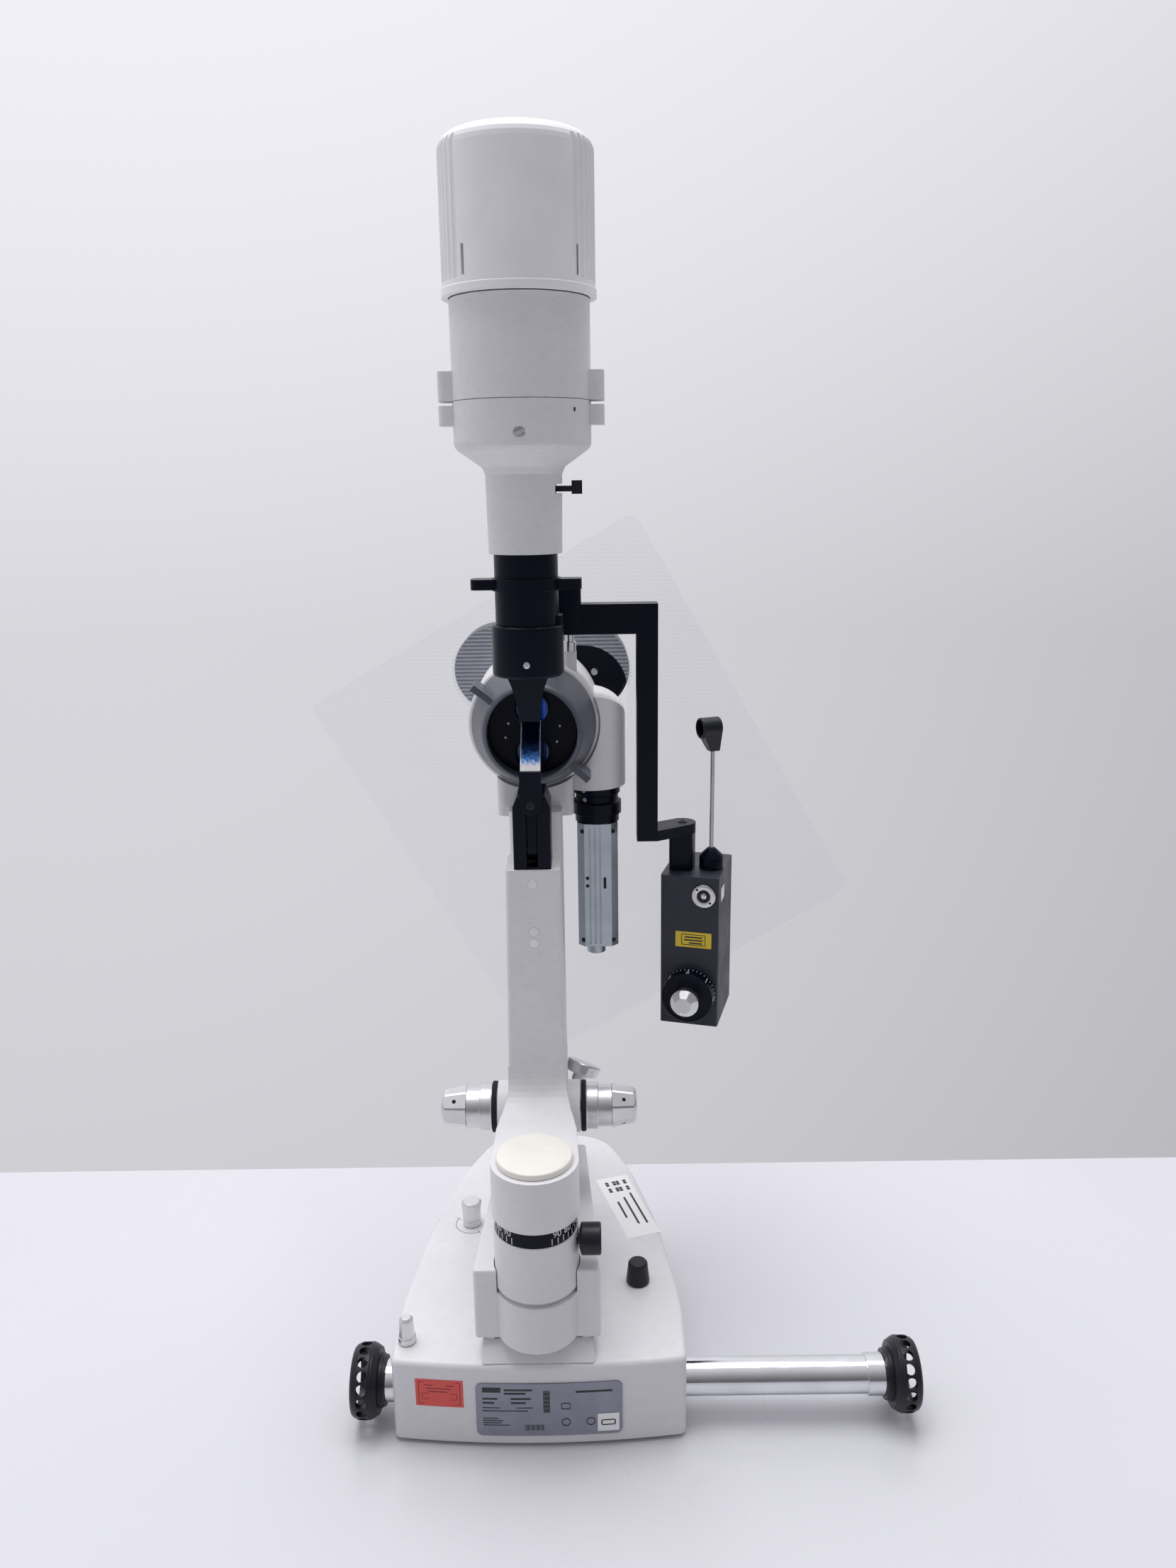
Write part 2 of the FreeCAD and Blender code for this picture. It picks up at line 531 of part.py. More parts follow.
def tonometer():
    width, depth = TONO_SIZE
    hub = fuse(box(PIVOT_X - 7.8, PIVOT_X + 7.8, PIVOT_Y - 7.8, PIVOT_Y + 7.8, 473, 508))
    hub = rounded(hub, 3, lambda p: abs(p.z - 490.5) < 0.1)
    bar = box(PIVOT_X, 79.6, PIVOT_Y - 7, PIVOT_Y + 7, 473, 492)
    drop = box(66, 79.6, PIVOT_Y - 7, PIVOT_Y + 7, 336, 492)
    post_x, post_y = POST
    foot_plan = [(66, PIVOT_Y - 7), (79.6, PIVOT_Y - 7), (102.1, 146.8), (93.1, 162.4), (66, PIVOT_Y + 7)]
    foot = plan_prism(foot_plan, 336, 343)
    foot = fuse(foot, cyl_z(9, 336, 343, post_x, post_y))
    post = upright_edges(box(-8.1, 8.1, -7.4, 7.4, TONO_TOP, 337), 3)
    post = turned(post, TONO_TURN, VEC(0, 0, 0), VEC(0, 0, 1))
    post.translate(VEC(post_x, post_y, 0))
    arm = fuse(hub, bar, drop, foot, post)
    arm = arm.cut(cyl_z(3.0 + RUNNING, 460, 501, PIVOT_X, PIVOT_Y))
    save("tonometer_arm", arm)

    case = upright_edges(box(0, width, 0, depth, TONO_BOTTOM, TONO_TOP), 1.5)
    socket = cyl_y(7.9, -1.2, 1, *SOCKET).cut(cyl_y(4.4, -2, 0.5, *SOCKET))
    stud = cyl_y(2.1, -0.8, 1, *SOCKET)
    case = fuse(case, socket, stud)
    case = case.cut(cyl_y(4 + RUNNING, -5, 14, DRUM_X, DRUM_Z))
    case = case.cut(cyl_z(8, TONO_TOP - 4, TONO_TOP + 2, ROD_X, ROD_Y))
    save("tonometer_box", tono(case))

    centre = VEC(DRUM_X, 0, DRUM_Z)
    drum = lathe([(-0.4, 0), (-0.4, 18.0), (-9.0, 17.6), (-9.5, 17.1), (-9.5, 0)], centre, VEC(0, 1, 0))
    drum = fuse(drum, cyl_y(4, -1, 12, DRUM_X, DRUM_Z))
    save("tonometer_drum", tono(drum))
    save("drum_knob", tono(drum_knob()))

    collar = lathe([(TONO_TOP + 0.5, 0), (TONO_TOP + 0.5, 7.9), (TONO_TOP + 8.9, 7.8), (TONO_TOP + 14, 2.5),
                    (TONO_TOP + 14, 0)], VEC(ROD_X, ROD_Y, 0), VEC(0, 0, 1))
    rod = cyl_z(1.4, TONO_TOP + 10, HOLDER_FOOT + 2, ROD_X, ROD_Y)
    shank = cyl_z(4, TONO_TOP - 3.5, TONO_TOP + 2, ROD_X, ROD_Y)
    save("prism_rod", tono(fuse(collar, rod, shank)))
    save("prism_holder", tono(prism_holder()))


def drum_knob():
    """Scalloped knob whose end is cut to eight sloping facets, on the axis of the measuring drum."""
    grip = lathe([(9.5, 0), (9.5, 8.2), (17.5, 9.6), (17.5, 0)], VEC(0, 0, 0), VEC(0, 0, 1))
    scallops = 20
    for index in range(scallops):
        angle = 2 * math.pi * index / scallops
        grip = grip.cut(cyl_z(1.0, 9, 17.1, 9.7 * math.cos(angle), 9.7 * math.sin(angle)))
    end = lathe([(17.4, 0), (17.4, 9.6), (22, 6.2), (22, 0)], VEC(0, 0, 0), VEC(0, 0, 1))
    shape = grip.fuse(end.common(flats(9.3, 5.2, 17.4, 22))).removeSplitter()
    shape = turned(shape, 90, VEC(0, 0, 0), VEC(1, 0, 0))
    shape.translate(VEC(DRUM_X, 0, DRUM_Z))
    return shape


HOLDER_FOOT = 392.4
HOLDER_AXIS_Z = 408.0
HOLDER_TURN = 20.0            # degrees from X to the ring's axis; the open end looks at the patient


def prism_holder():
    """Ring that holds the measuring prism, running down to a foot on the feeler rod."""
    ring_r = 7.0
    right = ROD_X + 4.2
    left = right - 13.8
    ring = rounded(cyl_x(ring_r, left, right, ROD_Y, HOLDER_AXIS_Z), 0.8, lambda p: True)
    sections = []
    for z, low_x, half_y in ((HOLDER_AXIS_Z - 2.5, left + 0.3, 6.3), (HOLDER_FOOT, ROD_X - 3.0, 2.8)):
        corners = [(low_x, -half_y), (right - 0.3, -half_y), (right - 0.3, half_y), (low_x, half_y)]
        corners.append(corners[0])
        sections.append(Part.makePolygon([VEC(x, ROD_Y + y, z) for x, y in corners]))
    holder = fuse(ring, Part.makeLoft(sections, True, True))
    holder = holder.cut(cyl_x(ring_r - 1.2, left - 1, right - 3, ROD_Y, HOLDER_AXIS_Z))
    holder = holder.cut(cyl_z(1.4, HOLDER_FOOT - 1, HOLDER_FOOT + 2, ROD_X, ROD_Y))
    return turned(holder, HOLDER_TURN - TONO_TURN, VEC(ROD_X, ROD_Y, 0), VEC(0, 0, 1))


# Illumination arm -----------------------------------------------------------------------------------
def illumination_arm():
    bend_r = 22.0
    bend_z = 211.0
    bend = []
    for step in range(10):
        angle = math.radians(10 * step)
        bend.append((ARM_FRONT - bend_r * (1 - math.cos(angle)), bend_z - bend_r * math.sin(angle)))
    profile = [(0, ILL_HUB_BOTTOM), (ARM_REAR - 14, ILL_HUB_BOTTOM), (ARM_REAR, ILL_HUB_BOTTOM + 14),
               (ARM_REAR, bend_z), (ARM_FRONT, bend_z)] + bend[1:] + [(22, ILL_HUB_TOP), (0, ILL_HUB_TOP)]
    limb = side_prism(profile, 40)
    plan = plan_prism([(-26, 0), (26, 0), (24.5, 30), (18.4, 58), (18.4, 100), (-18.4, 100), (-18.4, 58),
                       (-24.5, 30)], 140, 350)
    upright = Part.makeLoft([rounded_rectangle(18.4, ARM_FRONT, ARM_REAR, 2.5, bend_z - 6),
                             rounded_rectangle(16.4, ARM_FRONT, ARM_REAR, 2.5, ARM_TOP)], True, True)
    arm = fuse(limb.common(plan), upright)
    hub = cyl_z(26, ILL_HUB_BOTTOM, ILL_HUB_TOP)
    arm = fuse(arm, hub)
    bosses = [cyl_x(16.5, 17, 26.4, TOWER_Y, KNOB_Z), cyl_x(16.5, -26.4, -17, TOWER_Y, KNOB_Z)]
    arm = fuse(arm, *bosses)
    arm = cut(arm, cyl_z(SPINDLE_R + RUNNING, 140, 190), cyl_x(4 + RUNNING, -40, 40, TOWER_Y, KNOB_Z))
    plugs = []
    for z in PLUG_HEIGHTS:
        arm = arm.cut(cyl_y(2.9, ARM_FRONT - 1, ARM_FRONT + 3, 0, z))
        plugs.append(cyl_y(2.9, ARM_FRONT - 0.15, ARM_FRONT + 3, 0, z))
    save("illumination_arm", arm)
    save("arm_plugs", Part.makeCompound(plugs))

    save("slit_shaft", cyl_x(4, -60, 60, TOWER_Y, KNOB_Z))
    save("slit_width_knobs", Part.makeCompound([slit_width_knob(-90), slit_width_knob(90)]))

    block = side_prism([(64, ARM_TOP), (92, ARM_TOP), (92, 387), (65.5, 387), (64, 385.5)], 11.3)
    for side in (-1, 1):
        shoulder = front_prism([(11.4 * side, 379), (11.4 * side, 388), (7.6 * side, 388)], 60, 96)
        block = block.cut(shoulder)
    block = rounded(block, 1.2, lambda p: abs(abs(p.x) - 11.3) < 0.1 and p.z > ARM_TOP + 3 and p.z < 379)
    groove = box(-3.4, 3.4, 60, 96, TILT_Z - TONGUE_R - 0.5, 390)
    pin = cyl_x(3.0, -4, 4, TOWER_Y, TILT_Z)
    save("tilt_block", fuse(block.cut(groove), pin))


PLUG_HEIGHTS = (332.0, 301.5, 294.0)


def slit_width_knob(degrees):
    """Stepped grip with an eight-sided tapering end, built up Z and laid along X."""
    up = VEC(0, 0, 1)
    origin = VEC(0, 0, 0)
    drum = lathe([(26.8, 4), (26.8, 15.3), (30.5, 15.3), (31, 14.8), (37.6, 14.8), (38, 14.2), (38, 13.4),
                  (46.6, 13.4), (47, 12.8), (47, 4)], origin, up)
    end = lathe([(47, 4), (47, 14), (60.6, 11.4), (62.6, 9.6), (62.6, 4)], origin, up)
    end = end.common(flats(13.2, 10.4, 47, 62.6))
    end = end.cut(Part.makeCylinder(1.3, 6, VEC(0, 0, 54.5) + HOLE_OUT * 9, HOLE_OUT))
    shape = fuse(drum, end)
    shape.rotate(origin, VEC(0, 1, 0), degrees)
    shape.translate(VEC(0, TOWER_Y, KNOB_Z))
    return shape


# Tower ----------------------------------------------------------------------------------------------
def tower():
    tongue = box(-3, 3, TOWER_Y - TONGUE_R, TOWER_Y + TONGUE_R, TILT_Z, 393)
    tongue = fuse(tongue, cyl_x(TONGUE_R, -3, 3, TOWER_Y, TILT_Z))
    tongue = tongue.cut(cyl_x(3.0 + RUNNING, -5, 5, TOWER_Y, TILT_Z))
    wedge = side_prism([(66, 392), (97, 392), (97, 440), (92.6, 440), (92.6, 426), (66, 399.4)], 6.0)
    throat = side_prism([(66, COLLAR_BOTTOM), (97, COLLAR_BOTTOM), (97, 430), (71, 430)], 11.8)
    waist = [(5.6 * (t / 6.0) ** 2 + 6.2, 430 + 27 * t / 6.0) for t in range(7)]
    waist_left = [(-x, z) for x, z in reversed(waist)]
    throat = throat.common(front_prism(waist + waist_left, 60, 100))
    clip = fuse(box(-6.4, 6.4, 60.4, 63.5, 382, 402), cyl_y(6.4, 60.4, 63.5, 0, 382),
                box(-6.0, 6.0, 63, 66.5, 392, 399.4))
    neck = fuse(tongue, wedge, throat, clip)
    neck = neck.cut(cyl_z(4.6, 425, 460, 0, 80))
    save("tower_neck", neck)

    glass = box(-6.0, 6.0, 0, 36.5, 0, 2.0)
    glass = turned(glass, 45, VEC(0, 0, 0), VEC(1, 0, 0))
    glass.translate(VEC(0, 66.6, 400.0))
    save("slit_mirror", glass)

    collar = rounded(cyl_z(21, COLLAR_BOTTOM, COLLAR_TOP, 0, TOWER_Y), 2, lambda p: True)
    lug = upright_edges(box(14, 20.5, TOWER_Y - 6, TOWER_Y + 6, COLLAR_TOP - 4, COLLAR_TOP + 5), 1.5)
    lug = lug.cut(cyl_z(18.4, 480, 500, 0, TOWER_Y))
    collar = fuse(collar, lug).cut(cyl_z(10, 450, 490, 0, TOWER_Y))
    save("tower_collar", collar)

    tube = cyl_z(18.4, COLLAR_TOP, TUBE_TOP, 0, TOWER_Y).cut(cyl_z(10, 480, 530, 0, TOWER_Y))
    save("slit_tube", tube)

    ring = cyl_z(20, 506.5, 513.5, 0, TOWER_Y)
    for side in (-1, 1):
        paddle = box(15, 32, -7.5, 7.5, 507, 513)
        paddle = rounded(paddle, 4, lambda p: p.x > 31 and abs(p.z - 510) < 0.1)
        paddle = turned(paddle, 0 if side > 0 else 180, VEC(0, 0, 0), VEC(0, 0, 1))
        paddle.translate(VEC(0, TOWER_Y, 0))
        ring = fuse(ring, paddle)
    ring = ring.cut(cyl_z(18.4 + RUNNING, 500, 520, 0, TOWER_Y))
    save("slit_ring", ring)

    axis_point = VEC(0, TOWER_Y, 0)
    up = VEC(0, 0, 1)
    neck_shell = lathe([(TUBE_TOP, 10), (TUBE_TOP, 21.1), (NECK_TOP - 2, 21.8), (NECK_TOP + 2, 23.5),
                        (HEAD_BOTTOM - 2, 36.5), (HEAD_BOTTOM, 38.1), (HEAD_BOTTOM + 2, HEAD_R),
                        (HEAD_JOINT - 0.3, HEAD_R), (HEAD_JOINT - 0.3, 34), (590, 34), (578, 20),
                        (566, 17), (558, 17), (558, 10)], axis_point, up)
    lower_ears = ears(597.5, 608)
    slot = box(12, 26, TOWER_Y - 12, TOWER_Y + 12, 560.4, 565.6)
    save("tower_housing", fuse(neck_shell, lower_ears.cut(cyl_z(36, 590, 620, 0, TOWER_Y))).cut(slot))

    lever = fuse(cyl_z(14.5, 561.4, 564.6, 0, TOWER_Y), box(10, 30, TOWER_Y - 3, TOWER_Y + 3, 561.4, 564.6),
                 box(27, 33, TOWER_Y - 3.5, TOWER_Y + 3.5, 560, 567.5))
    lever = lever.cut(cyl_z(5, 555, 570, 7, TOWER_Y))
    save("filter_lever", lever)

    shell = lathe([(HEAD_JOINT, 34), (HEAD_JOINT, HEAD_R), (CAP_BOTTOM - 0.6, HEAD_R), (CAP_BOTTOM - 0.6, 36),
                   (668, 36), (668, 34)], axis_point, up)
    upper_ears = ears(610.3, 626).cut(cyl_z(36, 590, 640, 0, TOWER_Y))
    save("lamp_housing", fuse(shell, upper_ears))

    socket = fuse(cyl_z(33.9, 592, 598, 0, TOWER_Y), cyl_z(11, 598, 618, 0, TOWER_Y))
    bulb = fuse(socket, cyl_z(6, 618, 642, 0, TOWER_Y), Part.makeSphere(6, VEC(0, TOWER_Y, 642)))
    save("lamp_bulb", bulb.cut(cyl_z(4, 580, 600, 0, TOWER_Y)))

    lamp_cap()


def ears(z0, z1):
    """Two latch lugs, one at each side of the lamp housing."""
    lugs = []
    for side in (-1, 1):
        lug = upright_edges(box(33, 46, -9, 9, z0, z1), 4)
        lug = turned(lug, 0 if side > 0 else 180, VEC(0, 0, 0), VEC(0, 0, 1))
        lug.translate(VEC(0, TOWER_Y, 0))
        lugs.append(lug)
    return Part.makeCompound(lugs)


FLUTES = 13
FLUTE_STEP = 7.0              # degrees
FLUTE_R = 3.0
FLUTE_AT = CAP_R + 1.8        # radius of the circle that the flutes are centred on


def lamp_cap():
    """Ventilated lamp cover, fluted at the two sides where the fingers hold it."""
    axis_point = VEC(0, TOWER_Y, 0)
    outline = [(CAP_BOTTOM, 38.6), (CAP_BOTTOM, 42.3), (CAP_BOTTOM + 4, 42.3), (CAP_BOTTOM + 4.6, CAP_R)]
    crown = 9.0
    for index in range(7):
        angle = math.radians(90 * index / 6)
        outline.append((CAP_TOP - crown + crown * math.sin(angle), CAP_R - crown + crown * math.cos(angle)))
    outline += [(CAP_TOP, 0), (CAP_TOP - 3, 0), (CAP_TOP - 3, 32), (CAP_TOP - 10, 38.6)]
    cover = lathe(outline, axis_point, VEC(0, 0, 1))
    for side in (-1, 1):
        for index in range(FLUTES):
            angle = math.radians(90 - 90 * side + FLUTE_STEP * (index - (FLUTES - 1) / 2))
            x = FLUTE_AT * math.cos(angle)
            y = TOWER_Y + FLUTE_AT * math.sin(angle)
            cover = cover.cut(cyl_z(FLUTE_R, CAP_BOTTOM + 7, CAP_TOP + 1, x, y))
    slot = box(36, 44, -1.0, 1.0, CAP_BOTTOM + 8, CAP_BOTTOM + 23)
    for degrees in (-143, -131, -38, 38, 131, 143):
        vent = turned(slot, degrees, VEC(0, 0, 0), VEC(0, 0, 1))
        vent.translate(axis_point)
        cover = cover.cut(vent)
    save("lamp_cap", cover)


def main():
    base()
    pedestal()
    axle()
    base_knobs()
    joystick()
    carriage()
    microscope_arm()
    microscope()
    magnification()
    binocular()
    tonometer()
    illumination_arm()
    tower()
    os.makedirs("parts", exist_ok=True)
    for name, shape in NODES.items():
        shape.exportStep("parts/" + name + ".step")
        print(name, len(shape.Solids), round(shape.Volume), shape.isValid())


main()
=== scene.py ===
"""Looks of the slit lamp: finishes, printed scales, screws, labels, mounts, table, light and camera.

Metres, in the frame of the CAD model. MM turns the millimetres in which the instrument is dimensioned
into metres. The patient's side is at -Y and Z is up.
"""
import bmesh
import bpy
import json
import math
from mathutils import Matrix, Vector


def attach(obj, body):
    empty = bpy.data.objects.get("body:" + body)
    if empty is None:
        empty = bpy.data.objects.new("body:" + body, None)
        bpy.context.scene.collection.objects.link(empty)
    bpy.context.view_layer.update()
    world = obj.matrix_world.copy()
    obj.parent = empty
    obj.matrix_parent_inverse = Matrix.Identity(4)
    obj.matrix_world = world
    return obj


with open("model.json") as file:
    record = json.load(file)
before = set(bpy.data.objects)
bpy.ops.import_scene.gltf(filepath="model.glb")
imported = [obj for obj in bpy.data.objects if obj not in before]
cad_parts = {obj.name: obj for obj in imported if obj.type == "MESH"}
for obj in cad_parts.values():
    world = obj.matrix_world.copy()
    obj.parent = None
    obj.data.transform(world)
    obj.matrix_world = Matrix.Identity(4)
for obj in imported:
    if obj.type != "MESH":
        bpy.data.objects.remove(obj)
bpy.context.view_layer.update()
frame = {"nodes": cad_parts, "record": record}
MM = 0.001
NODES = frame["nodes"]
UP = Vector((0, 0, 1))
FRONT = Vector((0, -1, 0))

# Places that the added pieces share with the CAD, in millimetres ---------------------------------
TOWER_Y = 78.0
KNOB_Z = 174.6
OPTIC_Z = 416.3
BASE_TOP = 58.0
SCALE_R = 24.4
SCALE_BOTTOM = 142.0
MIRROR_FOOT = Vector((0, 66.6, 400.0))
MIRROR_SLOPE = math.radians(45)
PRISM_SIDES = (("left", -28.0), ("right", 34.0))
PRISM_Y = 204.2                   # front face of the prism housings
PRISM_Z = 440.0
SHIELD_Y = 195.0
LENS_R = 10.8
LENS_OFFSET = 13.6
TURRET_Y = 110.0                  # front face of the lens turret
HOUSING_R = 38.45
CAMERA_Y = 138.5                  # front face of the video camera
ADAPTER = (40.0, 152.0)           # axis of the video camera's adapter
RELEASE_KNOB = (-52.0, 121.0)
BASE_BOW = (-19.0, 6.0, 89.0)     # front of the base: middle, depth of its bow and half width
TONO_CORNER = Vector((82.0, 139.2, 0.0))
TONO_TURN = math.radians(-15.8)
TONO_TOP = 310.6
DRUM = (20.2, 227.0)              # x and z of the measuring drum, from the case's front corner
DRUM_FACE = -9.0
DRUM_R = 17.8                     # mean radius of its tapering rim
DRUM_MARKS = 40
SOCKET = (29.5, 298.0)
ROD = (30.1, 23.3)
PRINT = 0.05                      # thickness of a printed mark
LABEL = 0.14                      # thickness of a stuck-on label
PLATE_FACE = 0.9                  # face of the type plate in front of the base
TAG_BACK = 0.95                   # back of the small label on it
CAP_SLOTS = (-143, -131, -38, 38, 131, 143)     # degrees round the lamp cap
CAP_SLOT_R = 39.0
CAP_SLOT_BOTTOM = 671.6
SHARP_EDGE = math.radians(35)


# Camera ------------------------------------------------------------------------------------------
CAMERA_PLACE = (0.0341, -0.6101, 0.5678)
CAMERA_DOWN = 0.253
CAMERA_ROLL = -0.013


def make_camera():
    data = bpy.data.cameras.new("camera")
    data.lens = 27.04
    data.sensor_width = 36.0
    data.clip_start = 0.01
    data.clip_end = 50.0
    camera = bpy.data.objects.new("camera", data)
    bpy.context.scene.collection.objects.link(camera)
    pitch = Matrix.Rotation(math.pi / 2 - CAMERA_DOWN, 4, "X")
    roll = Matrix.Rotation(CAMERA_ROLL, 4, "Z")
    camera.matrix_world = Matrix.Translation(CAMERA_PLACE) @ pitch @ roll
    bpy.context.scene.camera = camera


# Shader helpers ----------------------------------------------------------------------------------
class Shader:
    """A node tree with short calls for the nodes that the finishes share."""

    def __init__(self, name):
        self.material = bpy.data.materials.new(name)
        self.material.use_nodes = True
        self.tree = self.material.node_tree
        self.tree.nodes.clear()
        self.output = self.tree.nodes.new("ShaderNodeOutputMaterial")
        self.shader = self.add("ShaderNodeBsdfPrincipled")
        self.link(self.shader.outputs[0], self.output.inputs["Surface"])
        self.place = self.add("ShaderNodeTexCoord").outputs["Object"]

    def add(self, kind, **values):
        node = self.tree.nodes.new(kind)
        for key, value in values.items():
            setattr(node, key, value)
        return node

    def link(self, start, end):
        self.tree.links.new(start, end)

    def stretched(self, scale):
        mapping = self.add("ShaderNodeMapping")
        mapping.inputs["Scale"].default_value = scale
        self.link(self.place, mapping.inputs["Vector"])
        return mapping.outputs["Vector"]

    def noise(self, scale, detail=3.0, vector=None):
        node = self.add("ShaderNodeTexNoise")
        node.inputs["Scale"].default_value = scale
        node.inputs["Detail"].default_value = detail
        self.link(vector or self.place, node.inputs["Vector"])
        return node.outputs["Fac"]

    def cells(self, scale):
        node = self.add("ShaderNodeTexVoronoi")
        node.inputs["Scale"].default_value = scale
        self.link(self.place, node.inputs["Vector"])
        return node.outputs["Distance"]

    def height(self):
        split = self.add("ShaderNodeSeparateXYZ")
        self.link(self.place, split.inputs[0])
        return split.outputs["Z"]

    def spread(self, value, low, high, to_low=0.0, to_high=1.0):
        node = self.add("ShaderNodeMapRange", clamp=True)
        limits = {"From Min": low, "From Max": high, "To Min": to_low, "To Max": to_high}
        for key, number in limits.items():
            node.inputs[key].default_value = number
        self.link(value, node.inputs["Value"])
        return node.outputs["Result"]

    def maths(self, operation, first, second):
        node = self.add("ShaderNodeMath", operation=operation)
        for socket, value in zip(node.inputs, (first, second)):
            if isinstance(value, (int, float)):
                socket.default_value = value
            else:
                self.link(value, socket)
        return node.outputs["Value"]

    def blend(self, factor, first, second):
        """Colour that goes from the first to the second as factor rises."""
        node = self.add("ShaderNodeMix", data_type="RGBA")
        for index, value in ((0, factor), (6, first), (7, second)):
            socket = node.inputs[index]
            if isinstance(value, tuple):
                socket.default_value = (*value, 1.0)
            else:
                self.link(value, socket)
        return node.outputs[2]

    def edges(self, radius_mm):
        """Rounded normal and a mask of the outer edges."""
        bevel = self.add("ShaderNodeBevel", samples=4)
        bevel.inputs["Radius"].default_value = radius_mm * MM
        geometry = self.add("ShaderNodeNewGeometry")
        dot = self.add("ShaderNodeVectorMath", operation="DOT_PRODUCT")
        self.link(bevel.outputs["Normal"], dot.inputs[0])
        self.link(geometry.outputs["Normal"], dot.inputs[1])
        return bevel.outputs["Normal"], self.spread(dot.outputs["Value"], 0.99, 0.75)

    def bump(self, height, depth_mm, normal=None, strength=1.0):
        node = self.add("ShaderNodeBump")
        node.inputs["Strength"].default_value = strength
        node.inputs["Distance"].default_value = depth_mm * MM
        self.link(height, node.inputs["Height"])
        if normal is not None:
            self.link(normal, node.inputs["Normal"])
        return node.outputs["Normal"]

    def set(self, **values):
        for key, value in values.items():
            socket = self.shader.inputs[key.replace("_", " ")]
            if isinstance(value, bpy.types.NodeSocket):
                self.link(value, socket)
            elif isinstance(value, tuple):
                socket.default_value = (*value, 1.0) if len(value) == 3 else value
            else:
                socket.default_value = value
        return self.material


def tint(colour, factor):
    return tuple(min(1.0, channel * factor) for channel in colour)


def enamel(name, colour, roughness, pebble=0.0, worn=None, edge=0.6, only_above=None, coat=0.1,
           specular=0.5):
    """Sprayed enamel: faint mottling and dust, orange peel or pebbles, and rubbed edges."""
    s = Shader(name)
    mottle = s.spread(s.noise(14, 4), 0.3, 0.7)
    dust = s.spread(s.noise(160, 5), 0.45, 0.8)
    body = s.blend(mottle, tint(colour, 0.955), tint(colour, 1.03))
    body = s.blend(s.maths("MULTIPLY", dust, 0.16), body, tint(colour, 0.72))
    rounded, edge_mask = s.edges(edge)
    if worn:
        patchy = s.spread(s.noise(220, 4), 0.52, 0.66)
        body = s.blend(s.maths("MULTIPLY", edge_mask, patchy), body, worn)
    peel = s.maths("MULTIPLY", s.noise(1100, 2), 0.25)
    normal = s.bump(peel, 0.05, rounded)
    if pebble:
        grains = s.spread(s.cells(620), 0.42, 0.1)
        lumps = s.spread(s.noise(330, 3), 0.5, 0.62)
        height = s.maths("MULTIPLY", grains, lumps)
        if only_above is not None:
            height = s.maths("MULTIPLY", height, s.spread(s.height(), only_above, only_above + 0.02))
        normal = s.bump(height, pebble, normal)
    gloss = s.spread(s.noise(60, 4), 0.3, 0.7, roughness - 0.05, roughness + 0.07)
    s.set(Base_Color=body, Roughness=gloss, Normal=normal, Coat_Weight=coat, Coat_Roughness=0.3)
    return s.set(Specular_IOR_Level=specular)


def metal(name, colour, roughness, turned=None, edge=0.35, smudge=0.08):
    """Turned or polished metal: fine tool marks, finger smudges and bright edges."""
    s = Shader(name)
    mottle = s.spread(s.noise(45, 4), 0.3, 0.7)
    body = s.blend(mottle, tint(colour, 0.93), tint(colour, 1.05))
    rounded, edge_mask = s.edges(edge)
    body = s.blend(s.maths("MULTIPLY", edge_mask, 0.5), body, tint(colour, 1.18))
    gloss = s.spread(s.noise(110, 5), 0.35, 0.7, roughness, roughness + smudge)
    marks = s.noise(1.0, 2, s.stretched(turned or (900, 900, 900)))
    normal = s.bump(marks, 0.03, rounded, 0.5)
    return s.set(Base_Color=body, Roughness=gloss, Metallic=1.0, Normal=normal)


def plastic(name, colour, roughness, grain=0.03, grain_scale=1500, edge=0.5, coat=0.0, specular=0.5):
    """Moulded plastic or rubber with a fine spark-eroded grain."""
    s = Shader(name)
    mottle = s.spread(s.noise(24, 3), 0.3, 0.7)
    dust = s.spread(s.noise(260, 5), 0.5, 0.85)
    body = s.blend(mottle, tint(colour, 0.94), tint(colour, 1.05))
    body = s.blend(s.maths("MULTIPLY", dust, 0.2), body, tint(colour, 1.35))
    rounded, edge_mask = s.edges(edge)
    body = s.blend(s.maths("MULTIPLY", edge_mask, 0.35), body, tint(colour, 1.5))
    normal = s.bump(s.noise(grain_scale, 2), grain, rounded)
    gloss = s.spread(s.noise(80, 4), 0.3, 0.7, roughness - 0.04, roughness + 0.08)
    s.set(Base_Color=body, Roughness=gloss, Normal=normal, Coat_Weight=coat)
    return s.set(Specular_IOR_Level=specular)


def lens_glass():
    """Coated lenses: dark, with a painted deep blue reflection that is stronger in the upper one."""
    s = Shader("lens_glass")
    bloom = s.spread(s.noise(50, 2), 0.3, 0.7)
    body = s.blend(bloom, (0.003, 0.006, 0.03), (0.006, 0.02, 0.12))
    # painted reflection: the upper lens's base colour turns bright blue above 0.416 m
    body = s.blend(s.spread(s.height(), 0.416, 0.417), body, (0.01, 0.1, 0.7))
    haze = s.spread(s.noise(90, 3), 0.4, 0.7, 0.02, 0.07)
    s.set(Base_Color=body, Roughness=haze, IOR=1.9)
    return s.set(Specular_Tint=(0.25, 0.5, 1.0), Coat_Weight=0.4)


def mirror_glass():
    """Silvered glass with a painted reflection: the bright slit head low down, then blue, then dark at
    the top.
    """
    s = Shader("mirror_silver")
    ruffle = s.maths("MULTIPLY", s.noise(520, 6), 0.009)
    level = s.maths("ADD", s.height(), ruffle)
    # painted reflection in the base colour: near white low down, blue in the middle, dark navy at the
    # top
    low = s.blend(s.spread(level, 0.4085, 0.4115), (1.0, 1.0, 0.99), (0.12, 0.36, 0.95))
    body = s.blend(s.spread(level, 0.4115, 0.4205), low, (0.01, 0.02, 0.09))
    haze = s.spread(s.noise(200, 4), 0.4, 0.7, 0.05, 0.2)
    shine = s.spread(level, 0.4095, 0.416, 0.0, 0.85)
    return s.set(Base_Color=body, Metallic=shine, Roughness=haze)


